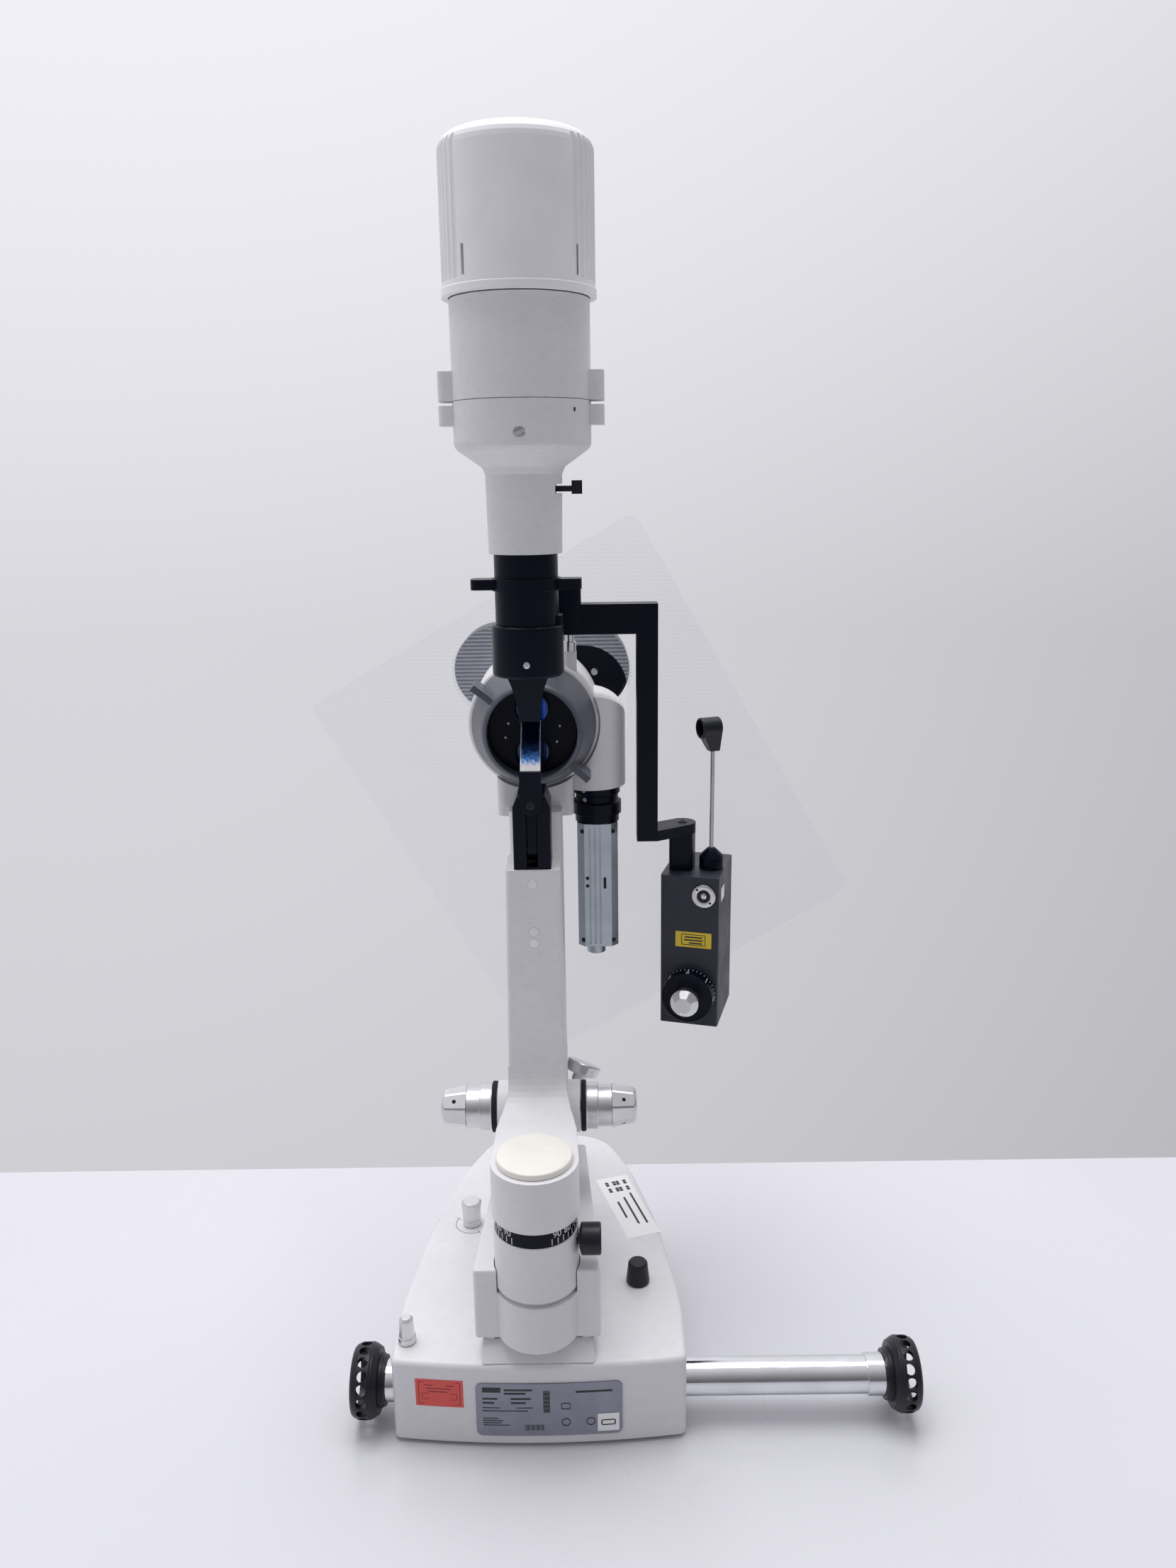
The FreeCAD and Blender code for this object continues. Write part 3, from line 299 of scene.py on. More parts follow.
def bulb_glass():
    s = Shader("bulb_glass")
    body = s.blend(s.noise(80, 2), (0.8, 0.8, 0.76), (0.95, 0.95, 0.92))
    return s.set(Base_Color=body, Roughness=0.08, Alpha=0.55, IOR=1.5)


def clear_sheet():
    """Acrylic sheet: nearly invisible and ribbed; in front of the dark prism housings it carries a
    painted reflection.
    """
    s = Shader("clear_acrylic")
    rib = s.add("ShaderNodeTexWave", wave_type="BANDS", bands_direction="Z", wave_profile="SIN")
    rib.inputs["Scale"].default_value = 120.0
    rib.inputs["Distortion"].default_value = 0.3
    rib.inputs["Detail Scale"].default_value = 0.4
    s.link(s.place, rib.inputs["Vector"])
    film_and_painted_reflection = s.spread(rib.outputs["Fac"], 0.4, 1.0, 0.055, 0.08)
    # painted reflection: the sheet is paler and more opaque in front of the dark prism housings
    painted_reflection_veil = s.spread(rib.outputs["Fac"], 0.3, 0.95, 0.14, 0.36)
    for _, x in PRISM_SIDES:
        reach = s.add("ShaderNodeVectorMath", operation="DISTANCE")
        reach.inputs[1].default_value = Vector((x, SHIELD_Y, PRISM_Z)) * MM
        s.link(s.place, reach.inputs[0])
        inside = s.spread(reach.outputs["Value"], 0.032, 0.03)
        film_and_painted_reflection = s.maths("MAXIMUM", film_and_painted_reflection, s.maths("MULTIPLY", painted_reflection_veil, inside))
    scuff = s.spread(s.noise(35, 5), 0.3, 0.75, 0.8, 1.1)
    body = s.blend(s.noise(9, 2), (0.85, 0.9, 0.99), (0.89, 0.93, 1.0))
    haze = s.spread(s.noise(70, 4), 0.4, 0.7, 0.08, 0.2)
    return s.set(Base_Color=body, Roughness=haze, Alpha=s.maths("MULTIPLY", film_and_painted_reflection, scuff), IOR=1.49)


def ink(name, colour):
    """Printing ink, slightly uneven."""
    s = Shader(name)
    body = s.blend(s.spread(s.noise(900, 4), 0.35, 0.7), tint(colour, 0.82), tint(colour, 1.05))
    return s.set(Base_Color=body, Roughness=0.55)


def paper(name, colour):
    """Stuck-on label: fibres, a faint crease and a soft sheen."""
    s = Shader(name)
    fibre = s.spread(s.noise(1800, 4), 0.35, 0.7)
    body = s.blend(fibre, tint(colour, 0.93), tint(colour, 1.03))
    body = s.blend(s.spread(s.noise(70, 5), 0.6, 0.8, 0.0, 0.3), body, tint(colour, 0.75))
    crease = s.spread(s.noise(1.0, 2, s.stretched((160, 20, 60))), 0.48, 0.55)
    return s.set(Base_Color=body, Roughness=0.42, Normal=s.bump(crease, 0.05))


# Finishes ----------------------------------------------------------------------------------------
WHITE = (0.785, 0.78, 0.795)
GREY_PRIMER = (0.42, 0.42, 0.43)
BLACK = (0.0025, 0.0045, 0.013)

FINISH = {
    "white_smooth": enamel("white_smooth", WHITE, 0.42, worn=GREY_PRIMER),
    "white_pebbled": enamel("white_pebbled", WHITE, 0.5, pebble=0.22, worn=GREY_PRIMER),
    "white_arm": enamel("white_arm", WHITE, 0.46, pebble=0.2, worn=GREY_PRIMER, only_above=0.2),
    "grey_enamel": enamel("grey_enamel", (0.085, 0.092, 0.12), 0.36, worn=(0.3, 0.3, 0.31)),
    "black_enamel": enamel("black_enamel", BLACK, 0.3, worn=(0.07, 0.075, 0.09), coat=0.0,
                           specular=0.15),
    "tono_enamel": enamel("tono_enamel", (0.024, 0.028, 0.045), 0.42, pebble=0.04,
                          worn=(0.09, 0.095, 0.12), coat=0.0, specular=0.4),
    "cap_plastic": plastic("cap_plastic", (0.93, 0.93, 0.95), 0.5),
    "black_plastic": plastic("black_plastic", (0.009, 0.0105, 0.016), 0.36, specular=0.35),
    "pad_plastic": plastic("pad_plastic", (0.06, 0.06, 0.062), 0.5),
    "cream_plastic": plastic("cream_plastic", (0.88, 0.86, 0.79), 0.33, grain=0.008, coat=0.2),
    "rubber": plastic("rubber", (0.01, 0.0105, 0.015), 0.7, grain=0.08, grain_scale=900, specular=0.3),
    "steel": metal("steel", (0.52, 0.52, 0.53), 0.3, turned=(200, 200, 1800)),
    "chrome": metal("chrome", (0.78, 0.79, 0.81), 0.07, turned=(1800, 60, 60), smudge=0.1),
    "satin_aluminium": metal("satin_aluminium", (0.72, 0.72, 0.73), 0.3, turned=(1500, 150, 1500)),
    "camera_metal": metal("camera_metal", (0.52, 0.58, 0.61), 0.42, turned=(1600, 1600, 90)),
    "bronze": metal("bronze", (0.46, 0.33, 0.15), 0.3),
    "plate_metal": metal("plate_metal", (0.3, 0.31, 0.36), 0.45, turned=(60, 1500, 1500)),
    "optical_glass": lens_glass(),
    "clear_sheet": clear_sheet(),
    "lamp_glass": bulb_glass(),
    "mirror_glass": mirror_glass(),
    "white_ink": ink("white_ink", (0.85, 0.86, 0.86)),
    "grey_ink": ink("grey_ink", (0.2, 0.22, 0.3)),
    "white_label": paper("white_label", (0.97, 0.97, 0.98)),
    "red_label": paper("red_label", (0.78, 0.09, 0.075)),
    "red_print": ink("red_print", (0.25, 0.03, 0.03)),
    "yellow_label": paper("yellow_label", (0.85, 0.62, 0.03)),
    "dark_print": ink("dark_print", (0.03, 0.03, 0.03)),
}
NODE_FINISH = {
    "base_housing": "white_smooth", "pedestal_cover": "white_smooth", "carriage_box": "white_smooth",
    "microscope_arm": "white_arm", "microscope_body": "white_smooth", "side_housing": "white_smooth",
    "illumination_arm": "white_arm", "tower_housing": "white_pebbled", "lamp_housing": "white_pebbled",
    "front_plate": "plate_metal", "tonometer_arm": "black_enamel",
}
SLOT_FINISH = {"grey_paint": "grey_enamel", "black_paint": "black_enamel", "tono_paint": "tono_enamel"}


def finish_nodes():
    """Every CAD node that stays in view takes a procedural finish."""
    for part in frame["record"]["subparts"]:
        name = part["node"]
        slot = part["material_slot"]
        finish = FINISH[NODE_FINISH.get(name) or SLOT_FINISH.get(slot, slot)]
        node = NODES[name]
        node.data.materials.clear()
        node.data.materials.append(finish)


# Mesh helpers ------------------------------------------------------------------------------------
def piece(name, mesh, body, finish):
    """Links a mesh as a named piece that rides on a body."""
    item = bpy.data.objects.new(name, mesh)
    bpy.context.scene.collection.objects.link(item)
    mesh.materials.append(FINISH[finish])
    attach(item, body)
    return item


def from_bmesh(name, builder, body, finish):
    mesh = bpy.data.meshes.new(name)
    bmesh.ops.recalc_face_normals(builder, faces=builder.faces)
    builder.to_mesh(mesh)
    builder.free()
    mesh.shade_smooth()
    mesh.set_sharp_from_angle(angle=SHARP_EDGE)
    return piece(name, mesh, body, finish)


def facing(origin, direction):
    """Matrix whose Z looks along direction and whose Y is as near to upright as it can be."""
    z = Vector(direction).normalized()
    x = UP.cross(z)
    x = x.normalized() if x.length > 1e-6 else Vector((1, 0, 0))
    y = z.cross(x)
    matrix = Matrix((x, y, z)).transposed().to_4x4()
    matrix.translation = Vector(origin)
    return matrix


def spin(builder, profile, matrix, segments=64):
    """Adds a turned solid: profile pairs are (radius, height along the matrix's Z) in millimetres."""
    rings = []
    for radius, height in profile:
        if radius < 1e-6:
            rings.append([builder.verts.new(matrix @ Vector((0, 0, height)) * MM)])
            continue
        ring = []
        for index in range(segments):
            angle = 2 * math.pi * index / segments
            point = Vector((radius * math.cos(angle), radius * math.sin(angle), height))
            ring.append(builder.verts.new(matrix @ point * MM))
        rings.append(ring)
    for low, high in zip(rings, rings[1:]):
        for index in range(segments):
            after = (index + 1) % segments
            corners = [low[index % len(low)], low[after % len(low)],
                       high[after % len(high)], high[index % len(high)]]
            unique = list(dict.fromkeys(corners))
            if len(unique) > 2:
                builder.faces.new(unique)


def slab(builder, outline, low, high, place):
    """Adds a flat solid from low to high: outline in millimetres, each point put through place."""
    bottom = [builder.verts.new(place(x, y, low)) for x, y in outline]
    top = [builder.verts.new(place(x, y, high)) for x, y in outline]
    builder.faces.new(list(reversed(bottom)))
    builder.faces.new(top)
    for index in range(len(outline)):
        after = (index + 1) % len(outline)
        builder.faces.new([bottom[index], bottom[after], top[after], top[index]])


def flat(matrix):
    """Placing function for slab() on a flat face."""
    return lambda x, y, z: matrix @ Vector((x, y, z)) * MM


def round_z(radius, height, centre=(0.0, 0.0), turn=0.0):
    """Placing function on a cylinder round Z: x runs round it, y upwards and z outwards."""
    def place(x, y, z):
        angle = x / radius + turn
        reach = radius + z
        return Vector((centre[0] + reach * math.sin(angle),
                       centre[1] - reach * math.cos(angle), height + y)) * MM
    return place


def rounded_outline(width, height, corner, steps=5):
    """Rectangle about its middle, with round corners."""
    points = []
    for quarter, (side_x, side_y) in enumerate(((1, 1), (-1, 1), (-1, -1), (1, -1))):
        for step in range(steps + 1):
            angle = math.pi / 2 * (quarter + step / steps)
            points.append((side_x * (width / 2 - corner) + corner * math.cos(angle),
                           side_y * (height / 2 - corner) + corner * math.sin(angle)))
    return points


def bar(x0, x1, y0, y1):
    return [(x0, y0), (x1, y0), (x1, y1), (x0, y1)]


def frame_lines(builder, width, height, line, place, level):
    """Thin printed frame about the middle of a label."""
    for side in (-1, 1):
        x = side * (width / 2)
        y = side * (height / 2)
        slab(builder, bar(x - line / 2, x + line / 2, -height / 2, height / 2),
             level, level + PRINT, place)
        slab(builder, bar(-width / 2 + line / 2, width / 2 - line / 2, y - line / 2, y + line / 2),
             level, level + PRINT, place)


def numerals(builder, text, x, y, height, place):
    """Adds digits of the given height in millimetres, centred on x, y."""
    curve = bpy.data.curves.new("digits", "FONT")
    curve.body = text
    curve.size = height * 1.4
    curve.align_x = "CENTER"
    curve.align_y = "CENTER"
    curve.extrude = PRINT / 2
    curve.resolution_u = 3
    holder = bpy.data.objects.new("digits", curve)
    bpy.context.scene.collection.objects.link(holder)
    bpy.context.view_layer.update()
    mesh = bpy.data.meshes.new_from_object(holder)
    start = len(builder.verts)
    builder.from_mesh(mesh)
    builder.verts.ensure_lookup_table()
    for vertex in builder.verts[start:]:
        vertex.co = place(x + vertex.co.x, y + vertex.co.y, vertex.co.z + PRINT / 2)
    bpy.data.objects.remove(holder)
    bpy.data.curves.remove(curve)
    bpy.data.meshes.remove(mesh)


def tono_place(point):
    """Point given from the tonometer case's front corner, turned and moved with the case."""
    return Matrix.Rotation(TONO_TURN, 4, "Z") @ Vector(point) + TONO_CORNER


# Screws ------------------------------------------------------------------------------------------
def screw(name, body, origin, direction, radius, drive, finish="satin_aluminium",
          height=0.5):
    """Screw head standing on a face, with a slot, a cross or a round socket cut into it."""
    matrix = facing(origin, direction)
    builder = bmesh.new()
    depth = height * 0.85
    if drive == "socket":
        bore = radius * 0.55
        spin(builder, [(0, -0.2), (radius, -0.2), (radius, height * 0.7), (radius * 0.88, height),
                       (bore, height), (bore, height - depth), (0, height - depth)], matrix, 24)
    else:
        spin(builder, [(0, -0.2), (radius, -0.2), (radius, height * 0.6),
                       (radius * 0.85, height * 0.95), (radius * 0.4, height), (0, height)], matrix, 40)
    item = from_bmesh(name, builder, body, finish)
    if drive in ("slot", "cross"):
        groove = bmesh.new()
        for index in range(2 if drive == "cross" else 1):
            turn = Matrix.Rotation(math.radians(20 + 90 * index), 4, "Z")
            long = radius * (0.62 if drive == "cross" else 1.2)
            slab(groove, bar(-long, long, -radius * 0.13, radius * 0.13), height - depth, height + 1,
                 flat(matrix @ turn))
        cutter_mesh = bpy.data.meshes.new("cutter")
        bmesh.ops.recalc_face_normals(groove, faces=groove.faces)
        groove.to_mesh(cutter_mesh)
        groove.free()
        cutter = bpy.data.objects.new("cutter", cutter_mesh)
        bpy.context.scene.collection.objects.link(cutter)
        boolean = item.modifiers.new("drive", "BOOLEAN")
        boolean.operation = "DIFFERENCE"
        boolean.solver = "EXACT"
        boolean.use_self = True
        boolean.object = cutter
        apply_modifiers(item)
        bpy.data.objects.remove(cutter)
        bpy.data.meshes.remove(cutter_mesh)
    return item


def apply_modifiers(item):
    bpy.context.view_layer.update()
    graph = bpy.context.evaluated_depsgraph_get()
    mesh = bpy.data.meshes.new_from_object(item.evaluated_get(graph))
    old = item.data
    item.modifiers.clear()
    item.data = mesh
    bpy.data.meshes.remove(old)
    mesh.set_sharp_from_angle(angle=SHARP_EDGE)


# Printed scales ----------------------------------------------------------------------------------
def angle_scale():
    """Degree marks on the black ring between the two arms, blank at the front."""
    builder = bmesh.new()
    place = round_z(SCALE_R, SCALE_BOTTOM, turn=math.radians(-4))
    blank, step = math.radians(28.5), math.radians(9.2)
    for side in (-1, 1):
        for index in range(13):
            x = side * SCALE_R * (blank + step * index)
            slab(builder, bar(x - 0.25, x + 0.25, 0.7, 4.7), 0.0, PRINT, place)
            if index % 2 == 1:
                numerals(builder, str(95 - 5 * index), x - side * 0.5, 7.0, 4.2, place)
    from_bmesh("angle_scale_marks", builder, "microscope", "white_ink")


def drum_place(x, y, z):
    """Placing function on the measuring drum: x runs round it, y from face to back, z outwards."""
    reach = 17.6 + 0.046 * y + z
    angle = x / DRUM_R
    point = (DRUM[0] + reach * math.sin(angle), DRUM_FACE + y, DRUM[1] + reach * math.cos(angle))
    return tono_place(point) * MM


def drum_scale():
    """Force marks and numerals round the rim of the measuring drum."""
    builder = bmesh.new()
    round_rim = 2 * math.pi * DRUM_R
    for index in range(DRUM_MARKS):
        x = round_rim * index / DRUM_MARKS
        long = index % 5 == 0
        slab(builder, bar(x - 0.28, x + 0.28, 4.2 if long else 6.2, 7.6), 0.0, PRINT, drum_place)
    for index in range(8):
        numerals(builder, str(index), round_rim * index / 8, 2.3, 3.4, drum_place)
    from_bmesh("drum_scale_marks", builder, "drum", "white_ink")


def knob_symbol():
    """Printed arc and two ticks round the release knob."""
    builder = bmesh.new()
    centre = Vector((*RELEASE_KNOB, BASE_TOP))
    place = flat(Matrix.Translation(centre))
    start, end = math.radians(150), math.radians(300)
    arc_mark(builder, place, 0.0, 0.0, 11.6, 0.5, 0.0, start, end, 28)
    for angle in (start, end):
        across = Matrix.Translation(centre) @ Matrix.Rotation(angle, 4, "Z")
        slab(builder, bar(9.6, 13.4, -0.25, 0.25), 0.0, PRINT, flat(across))
    from_bmesh("release_symbol", builder, "base", "grey_ink")


# Labels ------------------------------------------------------------------------------------------
def label(name, body, matrix, width, height, finish, corner=0.8):
    builder = bmesh.new()
    slab(builder, rounded_outline(width, height, corner), 0.0, LABEL, flat(matrix))
    return from_bmesh(name, builder, body, finish)


def curved_front(x, z):
    """Placing function on the base's bowed front, about a point on it."""
    middle, depth, half = BASE_BOW

    def place(u, v, out):
        across = x + u
        bow = middle + depth * (across / half) ** 2
        return Vector((across, bow - out, z + v)) * MM
    return place


def ribbon(builder, width, height, low, high, place, count=16):
    """Plain rectangle in upright strips, so that it can follow a bowed face."""
    rows = []
    for index in range(count + 1):
        x = -width / 2 + width * index / count
        rows.append([builder.verts.new(place(x, y, z)) for y, z in
                     ((-height / 2, low), (height / 2, low), (height / 2, high), (-height / 2, high))])
    for first, second in zip(rows, rows[1:]):
        for index in range(4):
            after = (index + 1) % 4
            builder.faces.new([first[index], first[after], second[after], second[index]])
    builder.faces.new(rows[0])
    builder.faces.new(list(reversed(rows[-1])))


def printed_lines(builder, place, left, top, pitch, lengths, thick, level=LABEL):
    """Rows of plain bars that stand in for lines of print; a row is a list of (start, length)."""
    for row, spans in enumerate(lengths):
        y = top - row * pitch
        for start, length in spans:
            slab(builder, bar(left + start, left + start + length, y - thick / 2, y + thick / 2),
                 level, level + PRINT, place)


def labels():
    """Stand-ins for the printed labels: plain bars and frames in place of words, codes and signs."""
    rear = Matrix.Translation((58.5, 140, BASE_TOP)) @ Matrix.Rotation(math.radians(-73), 4, "Z")
    label("article_label", "base", rear, 74, 24, "white_label")
    builder = bmesh.new()
    printed_lines(builder, flat(rear), -14, 7, 6.0, (((0, 38),), ((4, 33),), ((8, 20),)), 1.5)
    for column in range(6):
        for row in range(6):
            if (column * 5 + row * 3 + column * row) % 3:
                x, y = -34 + 2.7 * column, -7 + 2.7 * row
                slab(builder, bar(x, x + 2.4, y, y + 2.4), LABEL, LABEL + PRINT, flat(rear))
    from_bmesh("article_print", builder, "base", "dark_print")

    red = (-60, 37.5)
    builder = bmesh.new()
    ribbon(builder, 29, 19, 0.02, LABEL, curved_front(*red))
    from_bmesh("red_label", builder, "base", "red_label")
    builder = bmesh.new()
    frame_lines(builder, 25, 15.4, 0.4, curved_front(*red), LABEL)
    frame_lines(builder, 21, 4, 0.4, curved_front(red[0], red[1] - 2.4), LABEL)
    printed_lines(builder, curved_front(*red), -10, 5.4, 2.2, (((1, 18),), ((2, 15),), ((3, 12),)), 0.7)
    from_bmesh("red_label_print", builder, "base", "red_print")

    plate = curved_front(6, 27.5)
    builder = bmesh.new()
    rows = (  # left end, top, pitch, lines and their thickness
        (-40, 14.2, 1, (((0, 11),),), 3.4),
        (-27, 14.2, 1, (((0, 17),),), 1.2),
        (-27, 11.8, 1, (((0, 13),),), 1.2),
        (-40, 8.0, 2.9, (((0, 9), (17, 12)), ((0, 7), (17, 9))), 1.1),
        (-40, 1.6, 2.2, (((0, 30),), ((0, 27),)), 0.7),
        (-40, -6, 1.6, (((0, 9),), ((0, 12),), ((0, 11),), ((0, 16),)), 0.5),
        (16, 12.4, 2, (((0, 22),),), 1.4),
    )
    for left, top, pitch, lines, thick in rows:
        printed_lines(builder, plate, left, top, pitch, lines, thick, PLATE_FACE)
    ink_top = PLATE_FACE + PRINT
    for index in range(12):
        x = -15 + 1.0 * index
        thick = 0.6 if index % 3 else 0.35
        slab(builder, bar(x, x + thick, -14.5, -10.5), PLATE_FACE, ink_top, plate)
    for index in range(16):
        y = 13.5 - 1.0 * index
        thick = 0.6 if index % 3 else 0.35
        slab(builder, bar(-3.5, 0.5, y - thick, y), PLATE_FACE, ink_top, plate)
    for x in (10, 25):
        arc_mark(builder, plate, x, -9.0, 2.8, 0.55, PLATE_FACE)
    frame_lines(builder, 5, 4, 0.5, curved_front(16, 30.0), PLATE_FACE)
    from_bmesh("plate_print", builder, "base", "dark_print")

    tag = curved_front(41.5, 17.5)
    builder = bmesh.new()
    ribbon(builder, 13, 12.5, TAG_BACK, TAG_BACK + LABEL, tag)
    from_bmesh("number_label", builder, "base", "white_label")
    builder = bmesh.new()
    frame_lines(builder, 8, 3.4, 0.8, tag, TAG_BACK + LABEL)
    from_bmesh("number_print", builder, "base", "dark_print")

    turn = Matrix.Rotation(TONO_TURN, 3, "Z")
    case = facing(tono_place((22.7, 0, 266)), turn @ FRONT)
    label("yellow_label", "tonometer", case, 24.6, 11.0, "yellow_label", 0.4)
    builder = bmesh.new()
    frame_lines(builder, 16, 7.4, 0.5, flat(case), LABEL)
    printed_lines(builder, flat(case), -6.5, 1.8, 2.1, (((0.5, 12),), ((0, 13),), ((3.5, 9),)), 1.0)
    from_bmesh("yellow_label_print", builder, "tonometer", "dark_print")
    side = facing(tono_place((39.6, 15, 296)), turn @ Vector((1, 0, 0)))
    label("case_label", "tonometer", side, 12, 9, "white_label", 0.4)


def arc_mark(builder, place, x, y, radius, line, level, start=0.0, end=2 * math.pi, steps=24):
    """Printed ring or arc, radius being its outer one."""
    points = []
    for step in range(steps + 1):
        angle = start + (end - start) * step / steps
        points.append((math.cos(angle), math.sin(angle)))
    inner = radius - line
    for (ax, ay), (bx, by) in zip(points, points[1:]):
        slab(builder, [(x + radius * ax, y + radius * ay), (x + radius * bx, y + radius * by),
                       (x + inner * bx, y + inner * by), (x + inner * ax, y + inner * ay)],
             level, level + PRINT, place)


# Rings, seals and mounts -------------------------------------------------------------------------
def turned_piece(name, body, finish, origin, direction, profile, segments=96):
    builder = bmesh.new()
    spin(builder, profile, facing(origin, direction), segments)
    bmesh.ops.remove_doubles(builder, verts=builder.verts, dist=0.001 * MM)
    return from_bmesh(name, builder, body, finish)


def slit_knob_rings():
    """Black seal against each boss of the lamp arm, and a flat dark disc of painted shade for the hole
    of each knob.
    """
    reach, offset = 54.5, Vector((0, -8.4, 8.4))        # where the hole is, from the tower's axis
    lean, outward = 0.177, Vector((0, -0.696, 0.696))   # how the flat that it is in faces
    for name, side in (("left", -1), ("right", 1)):
        along = Vector((side, 0, 0))
        origin = Vector((0, TOWER_Y, KNOB_Z))
        turned_piece("slit_knob_seal_" + name, "slit_width", "rubber", origin, along,
                     [(15.4, 26.9), (16.1, 27.3), (16.3, 28.6), (16.1, 29.9), (15.4, 30.3),
                      (15.35, 28.6), (15.4, 26.9)])
        # painted shade: a flat dark disc stands for the hole in the knob
        turned_piece("slit_knob_hole_" + name, "slit_width", "rubber",
                     origin + reach * along + offset, lean * along + outward,
                     [(0, 0.05), (1.15, 0.05), (1.3, -0.1)], 24)


def lens_mounts():
    """Black cells round the two objective lenses, and the small screws of the turret."""
    inner, outer = LENS_R - 0.9, LENS_R + 1.0
    for name, side in (("lower", -1), ("upper", 1)):
        centre = Vector((0, TURRET_Y, OPTIC_Z + LENS_OFFSET * side))
        turned_piece("lens_cell_" + name, "magnification", "black_enamel", centre, FRONT,
                     [(inner, -1.2), (inner, 0.5), (LENS_R + 0.1, 0.9), (outer, 0.5), (outer, -0.1),
                      (inner, -1.2)], 72)
    for index, (x, z) in enumerate(((-17, -4), (-15, 5), (17, 3), (15, -7))):
        screw("turret_screw_%d" % index, "magnification", (x, TURRET_Y - 0.05, OPTIC_Z + z), FRONT, 0.8,
              "slot", "steel", height=0.3)


def camera_details():
    """Screws, sockets and mark on the video camera, and set screws on its adapter."""
    for index, (x, z) in enumerate(((29.6, 341.5), (50.4, 341.5), (29.6, 264.5), (50.4, 264.5))):
        side = -1 if x < 40 else 1
        direction = Vector((0.55 * side, -1, 0))
        screw("camera_screw_%d" % index, "microscope", (x - side * 0.2, CAMERA_Y + 0.9, z), direction,
              1.5, "socket", "black_plastic", 0.35)
    for index, z in enumerate((309.0, 303.5)):
        turned_piece("camera_led_%d" % index, "microscope", "black_plastic",
                     (33.0, CAMERA_Y, z), FRONT, [(0, 0.25), (0.9, 0.25), (1.2, 0.1), (1.2, -0.2)], 24)
    builder = bmesh.new()
    cover = facing((44.6, CAMERA_Y, 305.5), FRONT)
    slab(builder, rounded_outline(1.9, 8.0, 0.7), 0.0, 0.12, flat(cover))
    from_bmesh("camera_slot_cover", builder, "microscope", "black_plastic")
    angle = math.radians(-35)
    out = Vector((math.sin(angle), -math.cos(angle), 0))
    for index, (z, radius) in enumerate(((369.5, 15.4), (362.9, 14.2))):
        origin = Vector((*ADAPTER, z)) + out * (radius - 0.05)
        screw("adapter_screw_%d" % index, "microscope", origin, out, 1.5, "socket", height=0.3)


def prism_plates():
    """Black cover plate and its cross screw on the front of each prism housing."""
    for name, x in PRISM_SIDES:
        centre = Vector((x, PRISM_Y, PRISM_Z))
        side = -1 if name == "left" else 1
        body = "prism_" + name
        turned_piece("prism_plate_" + name, body, "black_enamel", centre, FRONT,
                     [(26.5, -0.1), (27.4, 0.3), (28.2, 0.2), (28.4, -0.1)])
        screw("prism_screw_" + name, body, centre + Vector((side * 5.5, 0, -2)), FRONT, 2.4, "cross")


def mirror_edges():
    """Polished edge down each side of the mirror."""
    face = Matrix.Translation(MIRROR_FOOT) @ Matrix.Rotation(MIRROR_SLOPE, 4, "X")
    for name, side in (("left", -1), ("right", 1)):
        builder = bmesh.new()
        low, high = sorted((side * 5.35, side * 5.95))
        slab(builder, bar(low, high, 4.0, 36.0), 2.0, 2.08, flat(face))
        from_bmesh("mirror_edge_" + name, builder, "tower", "chrome")


def small_screws():
    screw("collar_screw", "tower", (0, TOWER_Y - 20.95, 465.5), FRONT, 1.9, "slot")
    screw("clip_screw", "tower", (0, 60.4, 381.5), FRONT, 2.6, "socket",
          "black_plastic", 0.6)
    screw("foot_screw", "tonometer", (97.6, 154.6, 343), UP, 3.0, "socket",
          "black_plastic", 0.6)
    screw("housing_plug", "tower", (0, TOWER_Y - HOUSING_R, 592.5), FRONT, 3.3, "slot", height=0.35)


def tonometer_details():
    """Socket with its ring, liner, pin and holes, collar of the feeler rod, and plug in the lid."""
    front = Matrix.Rotation(TONO_TURN, 3, "Z") @ FRONT
    centre = tono_place((SOCKET[0], -1.2, SOCKET[1]))
    turned_piece("socket_ring", "tonometer", "satin_aluminium", centre, front,
                 [(4.5, -0.1), (4.5, 0.2), (4.8, 0.35), (7.4, 0.35), (7.95, 0.1), (7.95, -0.6),
                  (7.85, -0.6), (7.85, -0.1), (4.5, -0.1)], 64)
    turned_piece("socket_liner", "tonometer", "black_plastic", centre, front,
                 [(2.2, -0.6), (2.4, 0.1), (4.2, 0.1), (4.45, -0.6)], 40)
    turned_piece("socket_pin", "tonometer", "satin_aluminium", centre, front,
                 [(0, 0.5), (1.2, 0.45), (2.0, 0.1), (2.1, -0.3)], 32)
    # painted shade: two flat dark discs stand for the holes in the socket's face
    for index, side in enumerate((-1, 1)):
        spot = tono_place((SOCKET[0] + 4.4 * side, -1.55, SOCKET[1] - 4.4 * side))
        turned_piece("socket_hole_%d" % index, "tonometer", "black_plastic",
                     spot, front, [(0, 0.08), (0.8, 0.06), (0.9, -0.1)], 20)
    foot = tono_place((ROD[0], ROD[1], TONO_TOP))
    turned_piece("rod_collar", "sensor", "black_enamel", foot, UP,
                 [(7.93, 0.6), (8.1, 0.65), (8.1, 8.6), (7.9, 9.1), (2.7, 14.2), (1.5, 14.25),
                  (1.5, 14.05), (2.52, 14.02), (7.84, 8.92), (7.93, 0.6)], 48)
    lid = tono_place((16.2, 4.4, TONO_TOP))
    turned_piece("lid_plug", "tonometer", "tono_enamel", lid, UP,
                 [(0, 0.06), (2.4, 0.06), (2.5, 0.3), (3.1, 0.3), (3.3, -0.1)], 40)


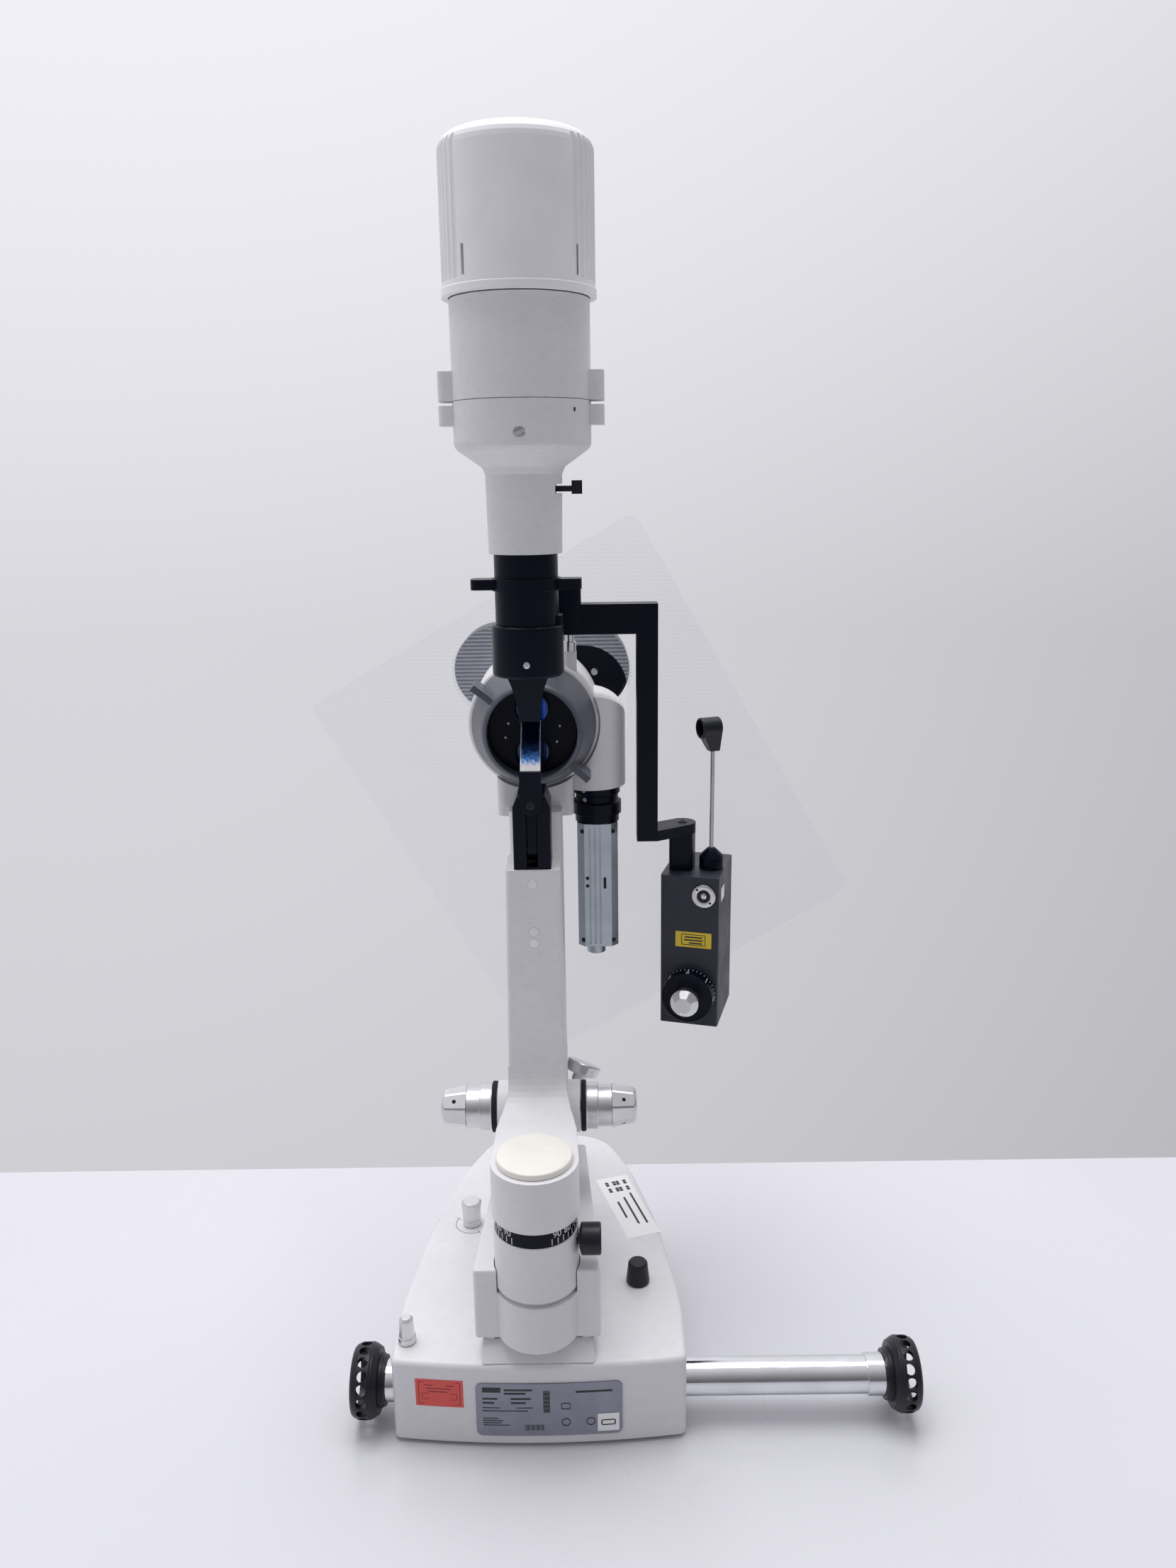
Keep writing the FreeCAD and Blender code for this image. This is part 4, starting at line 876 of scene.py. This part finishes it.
def housing_details():
    """Dark slot and dot low on the right of the lamp housing; the slot is a flat dark piece, painted
    shade for its depth.
    """
    marks = (("dot", 50, HOUSING_R, 604.5, (1.6, 2.2)), ("slot", 32, 33.0, 583.5, (7.5, 1.5)))
    for name, degrees, radius, z, size in marks:
        place = round_z(radius, z, (0.0, TOWER_Y), math.radians(degrees))
        builder = bmesh.new()
        slab(builder, rounded_outline(size[0], size[1], 0.6), -0.1, 0.12, place)
        from_bmesh("housing_" + name, builder, "tower", "black_plastic")


def vent_shades():
    """Painted shade: black pieces that stand for the dark depth of the six cooling slots in the lamp
    cap.
    """
    for index, degrees in enumerate(CAP_SLOTS):
        turn = math.radians(degrees + 90)
        place = round_z(CAP_SLOT_R, CAP_SLOT_BOTTOM, (0.0, TOWER_Y), turn)
        builder = bmesh.new()
        # painted shade: a black slab down the slot
        slab(builder, bar(-0.9, 0.9, 0.0, 14.6), 0.0, 1.0, place)
        from_bmesh("vent_shade_%d" % index, builder, "lamp_cap", "black_plastic")


# Stage -------------------------------------------------------------------------------------------
BRIGHT_SIDE = (-0.24, 0.57, 0.78)     # direction from which the surround is brightest
LOWEST_SIGHT = (-1.0, -1.0, -0.12)    # it gets no darker further down than this
LEVELS = ((0.0, 0.1), (0.3, 0.16), (0.5, 0.34), (0.7, 0.6), (0.85, 0.8), (1.0, 1.0))


def stage():
    """Pale glossy table that ends just behind the instrument."""
    builder = bmesh.new()
    rear, near, half, thickness = 284.0, -4000.0, 4000.0, 40.0
    slab(builder, bar(-half, half, near, rear), -thickness, 0.0, flat(Matrix.Identity(4)))
    mesh = bpy.data.meshes.new("table_top")
    bmesh.ops.recalc_face_normals(builder, faces=builder.faces)
    builder.to_mesh(mesh)
    builder.free()
    table = bpy.data.objects.new("table_top", mesh)
    bpy.context.scene.collection.objects.link(table)
    s = Shader("table_laminate")
    body = s.blend(s.noise(3, 3), (0.65, 0.655, 0.7), (0.7, 0.7, 0.74))
    s.set(Base_Color=body, Roughness=s.spread(s.noise(9, 4), 0.3, 0.7, 0.2, 0.32))
    mesh.materials.append(s.material)


def light(name, origin, target, size, power):
    data = bpy.data.lights.new(name, "AREA")
    data.shape = "RECTANGLE"
    data.size, data.size_y = size
    data.energy = power
    lamp = bpy.data.objects.new(name, data)
    bpy.context.scene.collection.objects.link(lamp)
    aim = (Vector(target) - Vector(origin)).to_track_quat("-Z", "Y")
    lamp.matrix_world = Matrix.Translation(origin) @ aim.to_matrix().to_4x4()


def lighting():
    """Pale room that is brightest overhead and behind, and dim on the camera's side."""
    world = bpy.data.worlds.new("pale_room")
    bpy.context.scene.world = world
    world.use_nodes = True
    nodes, links = world.node_tree.nodes, world.node_tree.links
    background = nodes["Background"]
    place = nodes.new("ShaderNodeTexCoord")
    towards = nodes.new("ShaderNodeVectorMath")
    towards.operation = "DOT_PRODUCT"
    towards.inputs[1].default_value = BRIGHT_SIDE
    level = nodes.new("ShaderNodeMapRange")
    level.inputs["From Min"].default_value = -1.0
    level.inputs["From Max"].default_value = 1.0
    ramp = nodes.new("ShaderNodeValToRGB")
    lowest = nodes.new("ShaderNodeVectorMath")
    lowest.operation = "MAXIMUM"
    lowest.inputs[1].default_value = LOWEST_SIGHT
    links.new(place.outputs["Generated"], lowest.inputs[0])
    links.new(lowest.outputs["Vector"], towards.inputs[0])
    links.new(towards.outputs["Value"], level.inputs["Value"])
    links.new(level.outputs["Result"], ramp.inputs["Fac"])
    links.new(ramp.outputs["Color"], background.inputs["Color"])
    stops = ramp.color_ramp.elements
    for index, (position, value) in enumerate(LEVELS):
        stop = stops[index] if index < 2 else stops.new(position)
        stop.position = position
        stop.color = (value, value * 0.985, value * 1.045, 1)
    background.inputs["Strength"].default_value = 1.0
    light("ceiling", (-0.1, 0.35, 2.2), (0, 0.1, 0.3), (1.6, 1.2), 30)
    settings = bpy.context.scene.view_settings
    settings.view_transform = "Standard"
    settings.look = "None"


def main():
    make_camera()
    finish_nodes()
    angle_scale()
    drum_scale()
    knob_symbol()
    labels()
    slit_knob_rings()
    lens_mounts()
    camera_details()
    prism_plates()
    mirror_edges()
    small_screws()
    tonometer_details()
    housing_details()
    vent_shades()
    stage()
    lighting()


main()
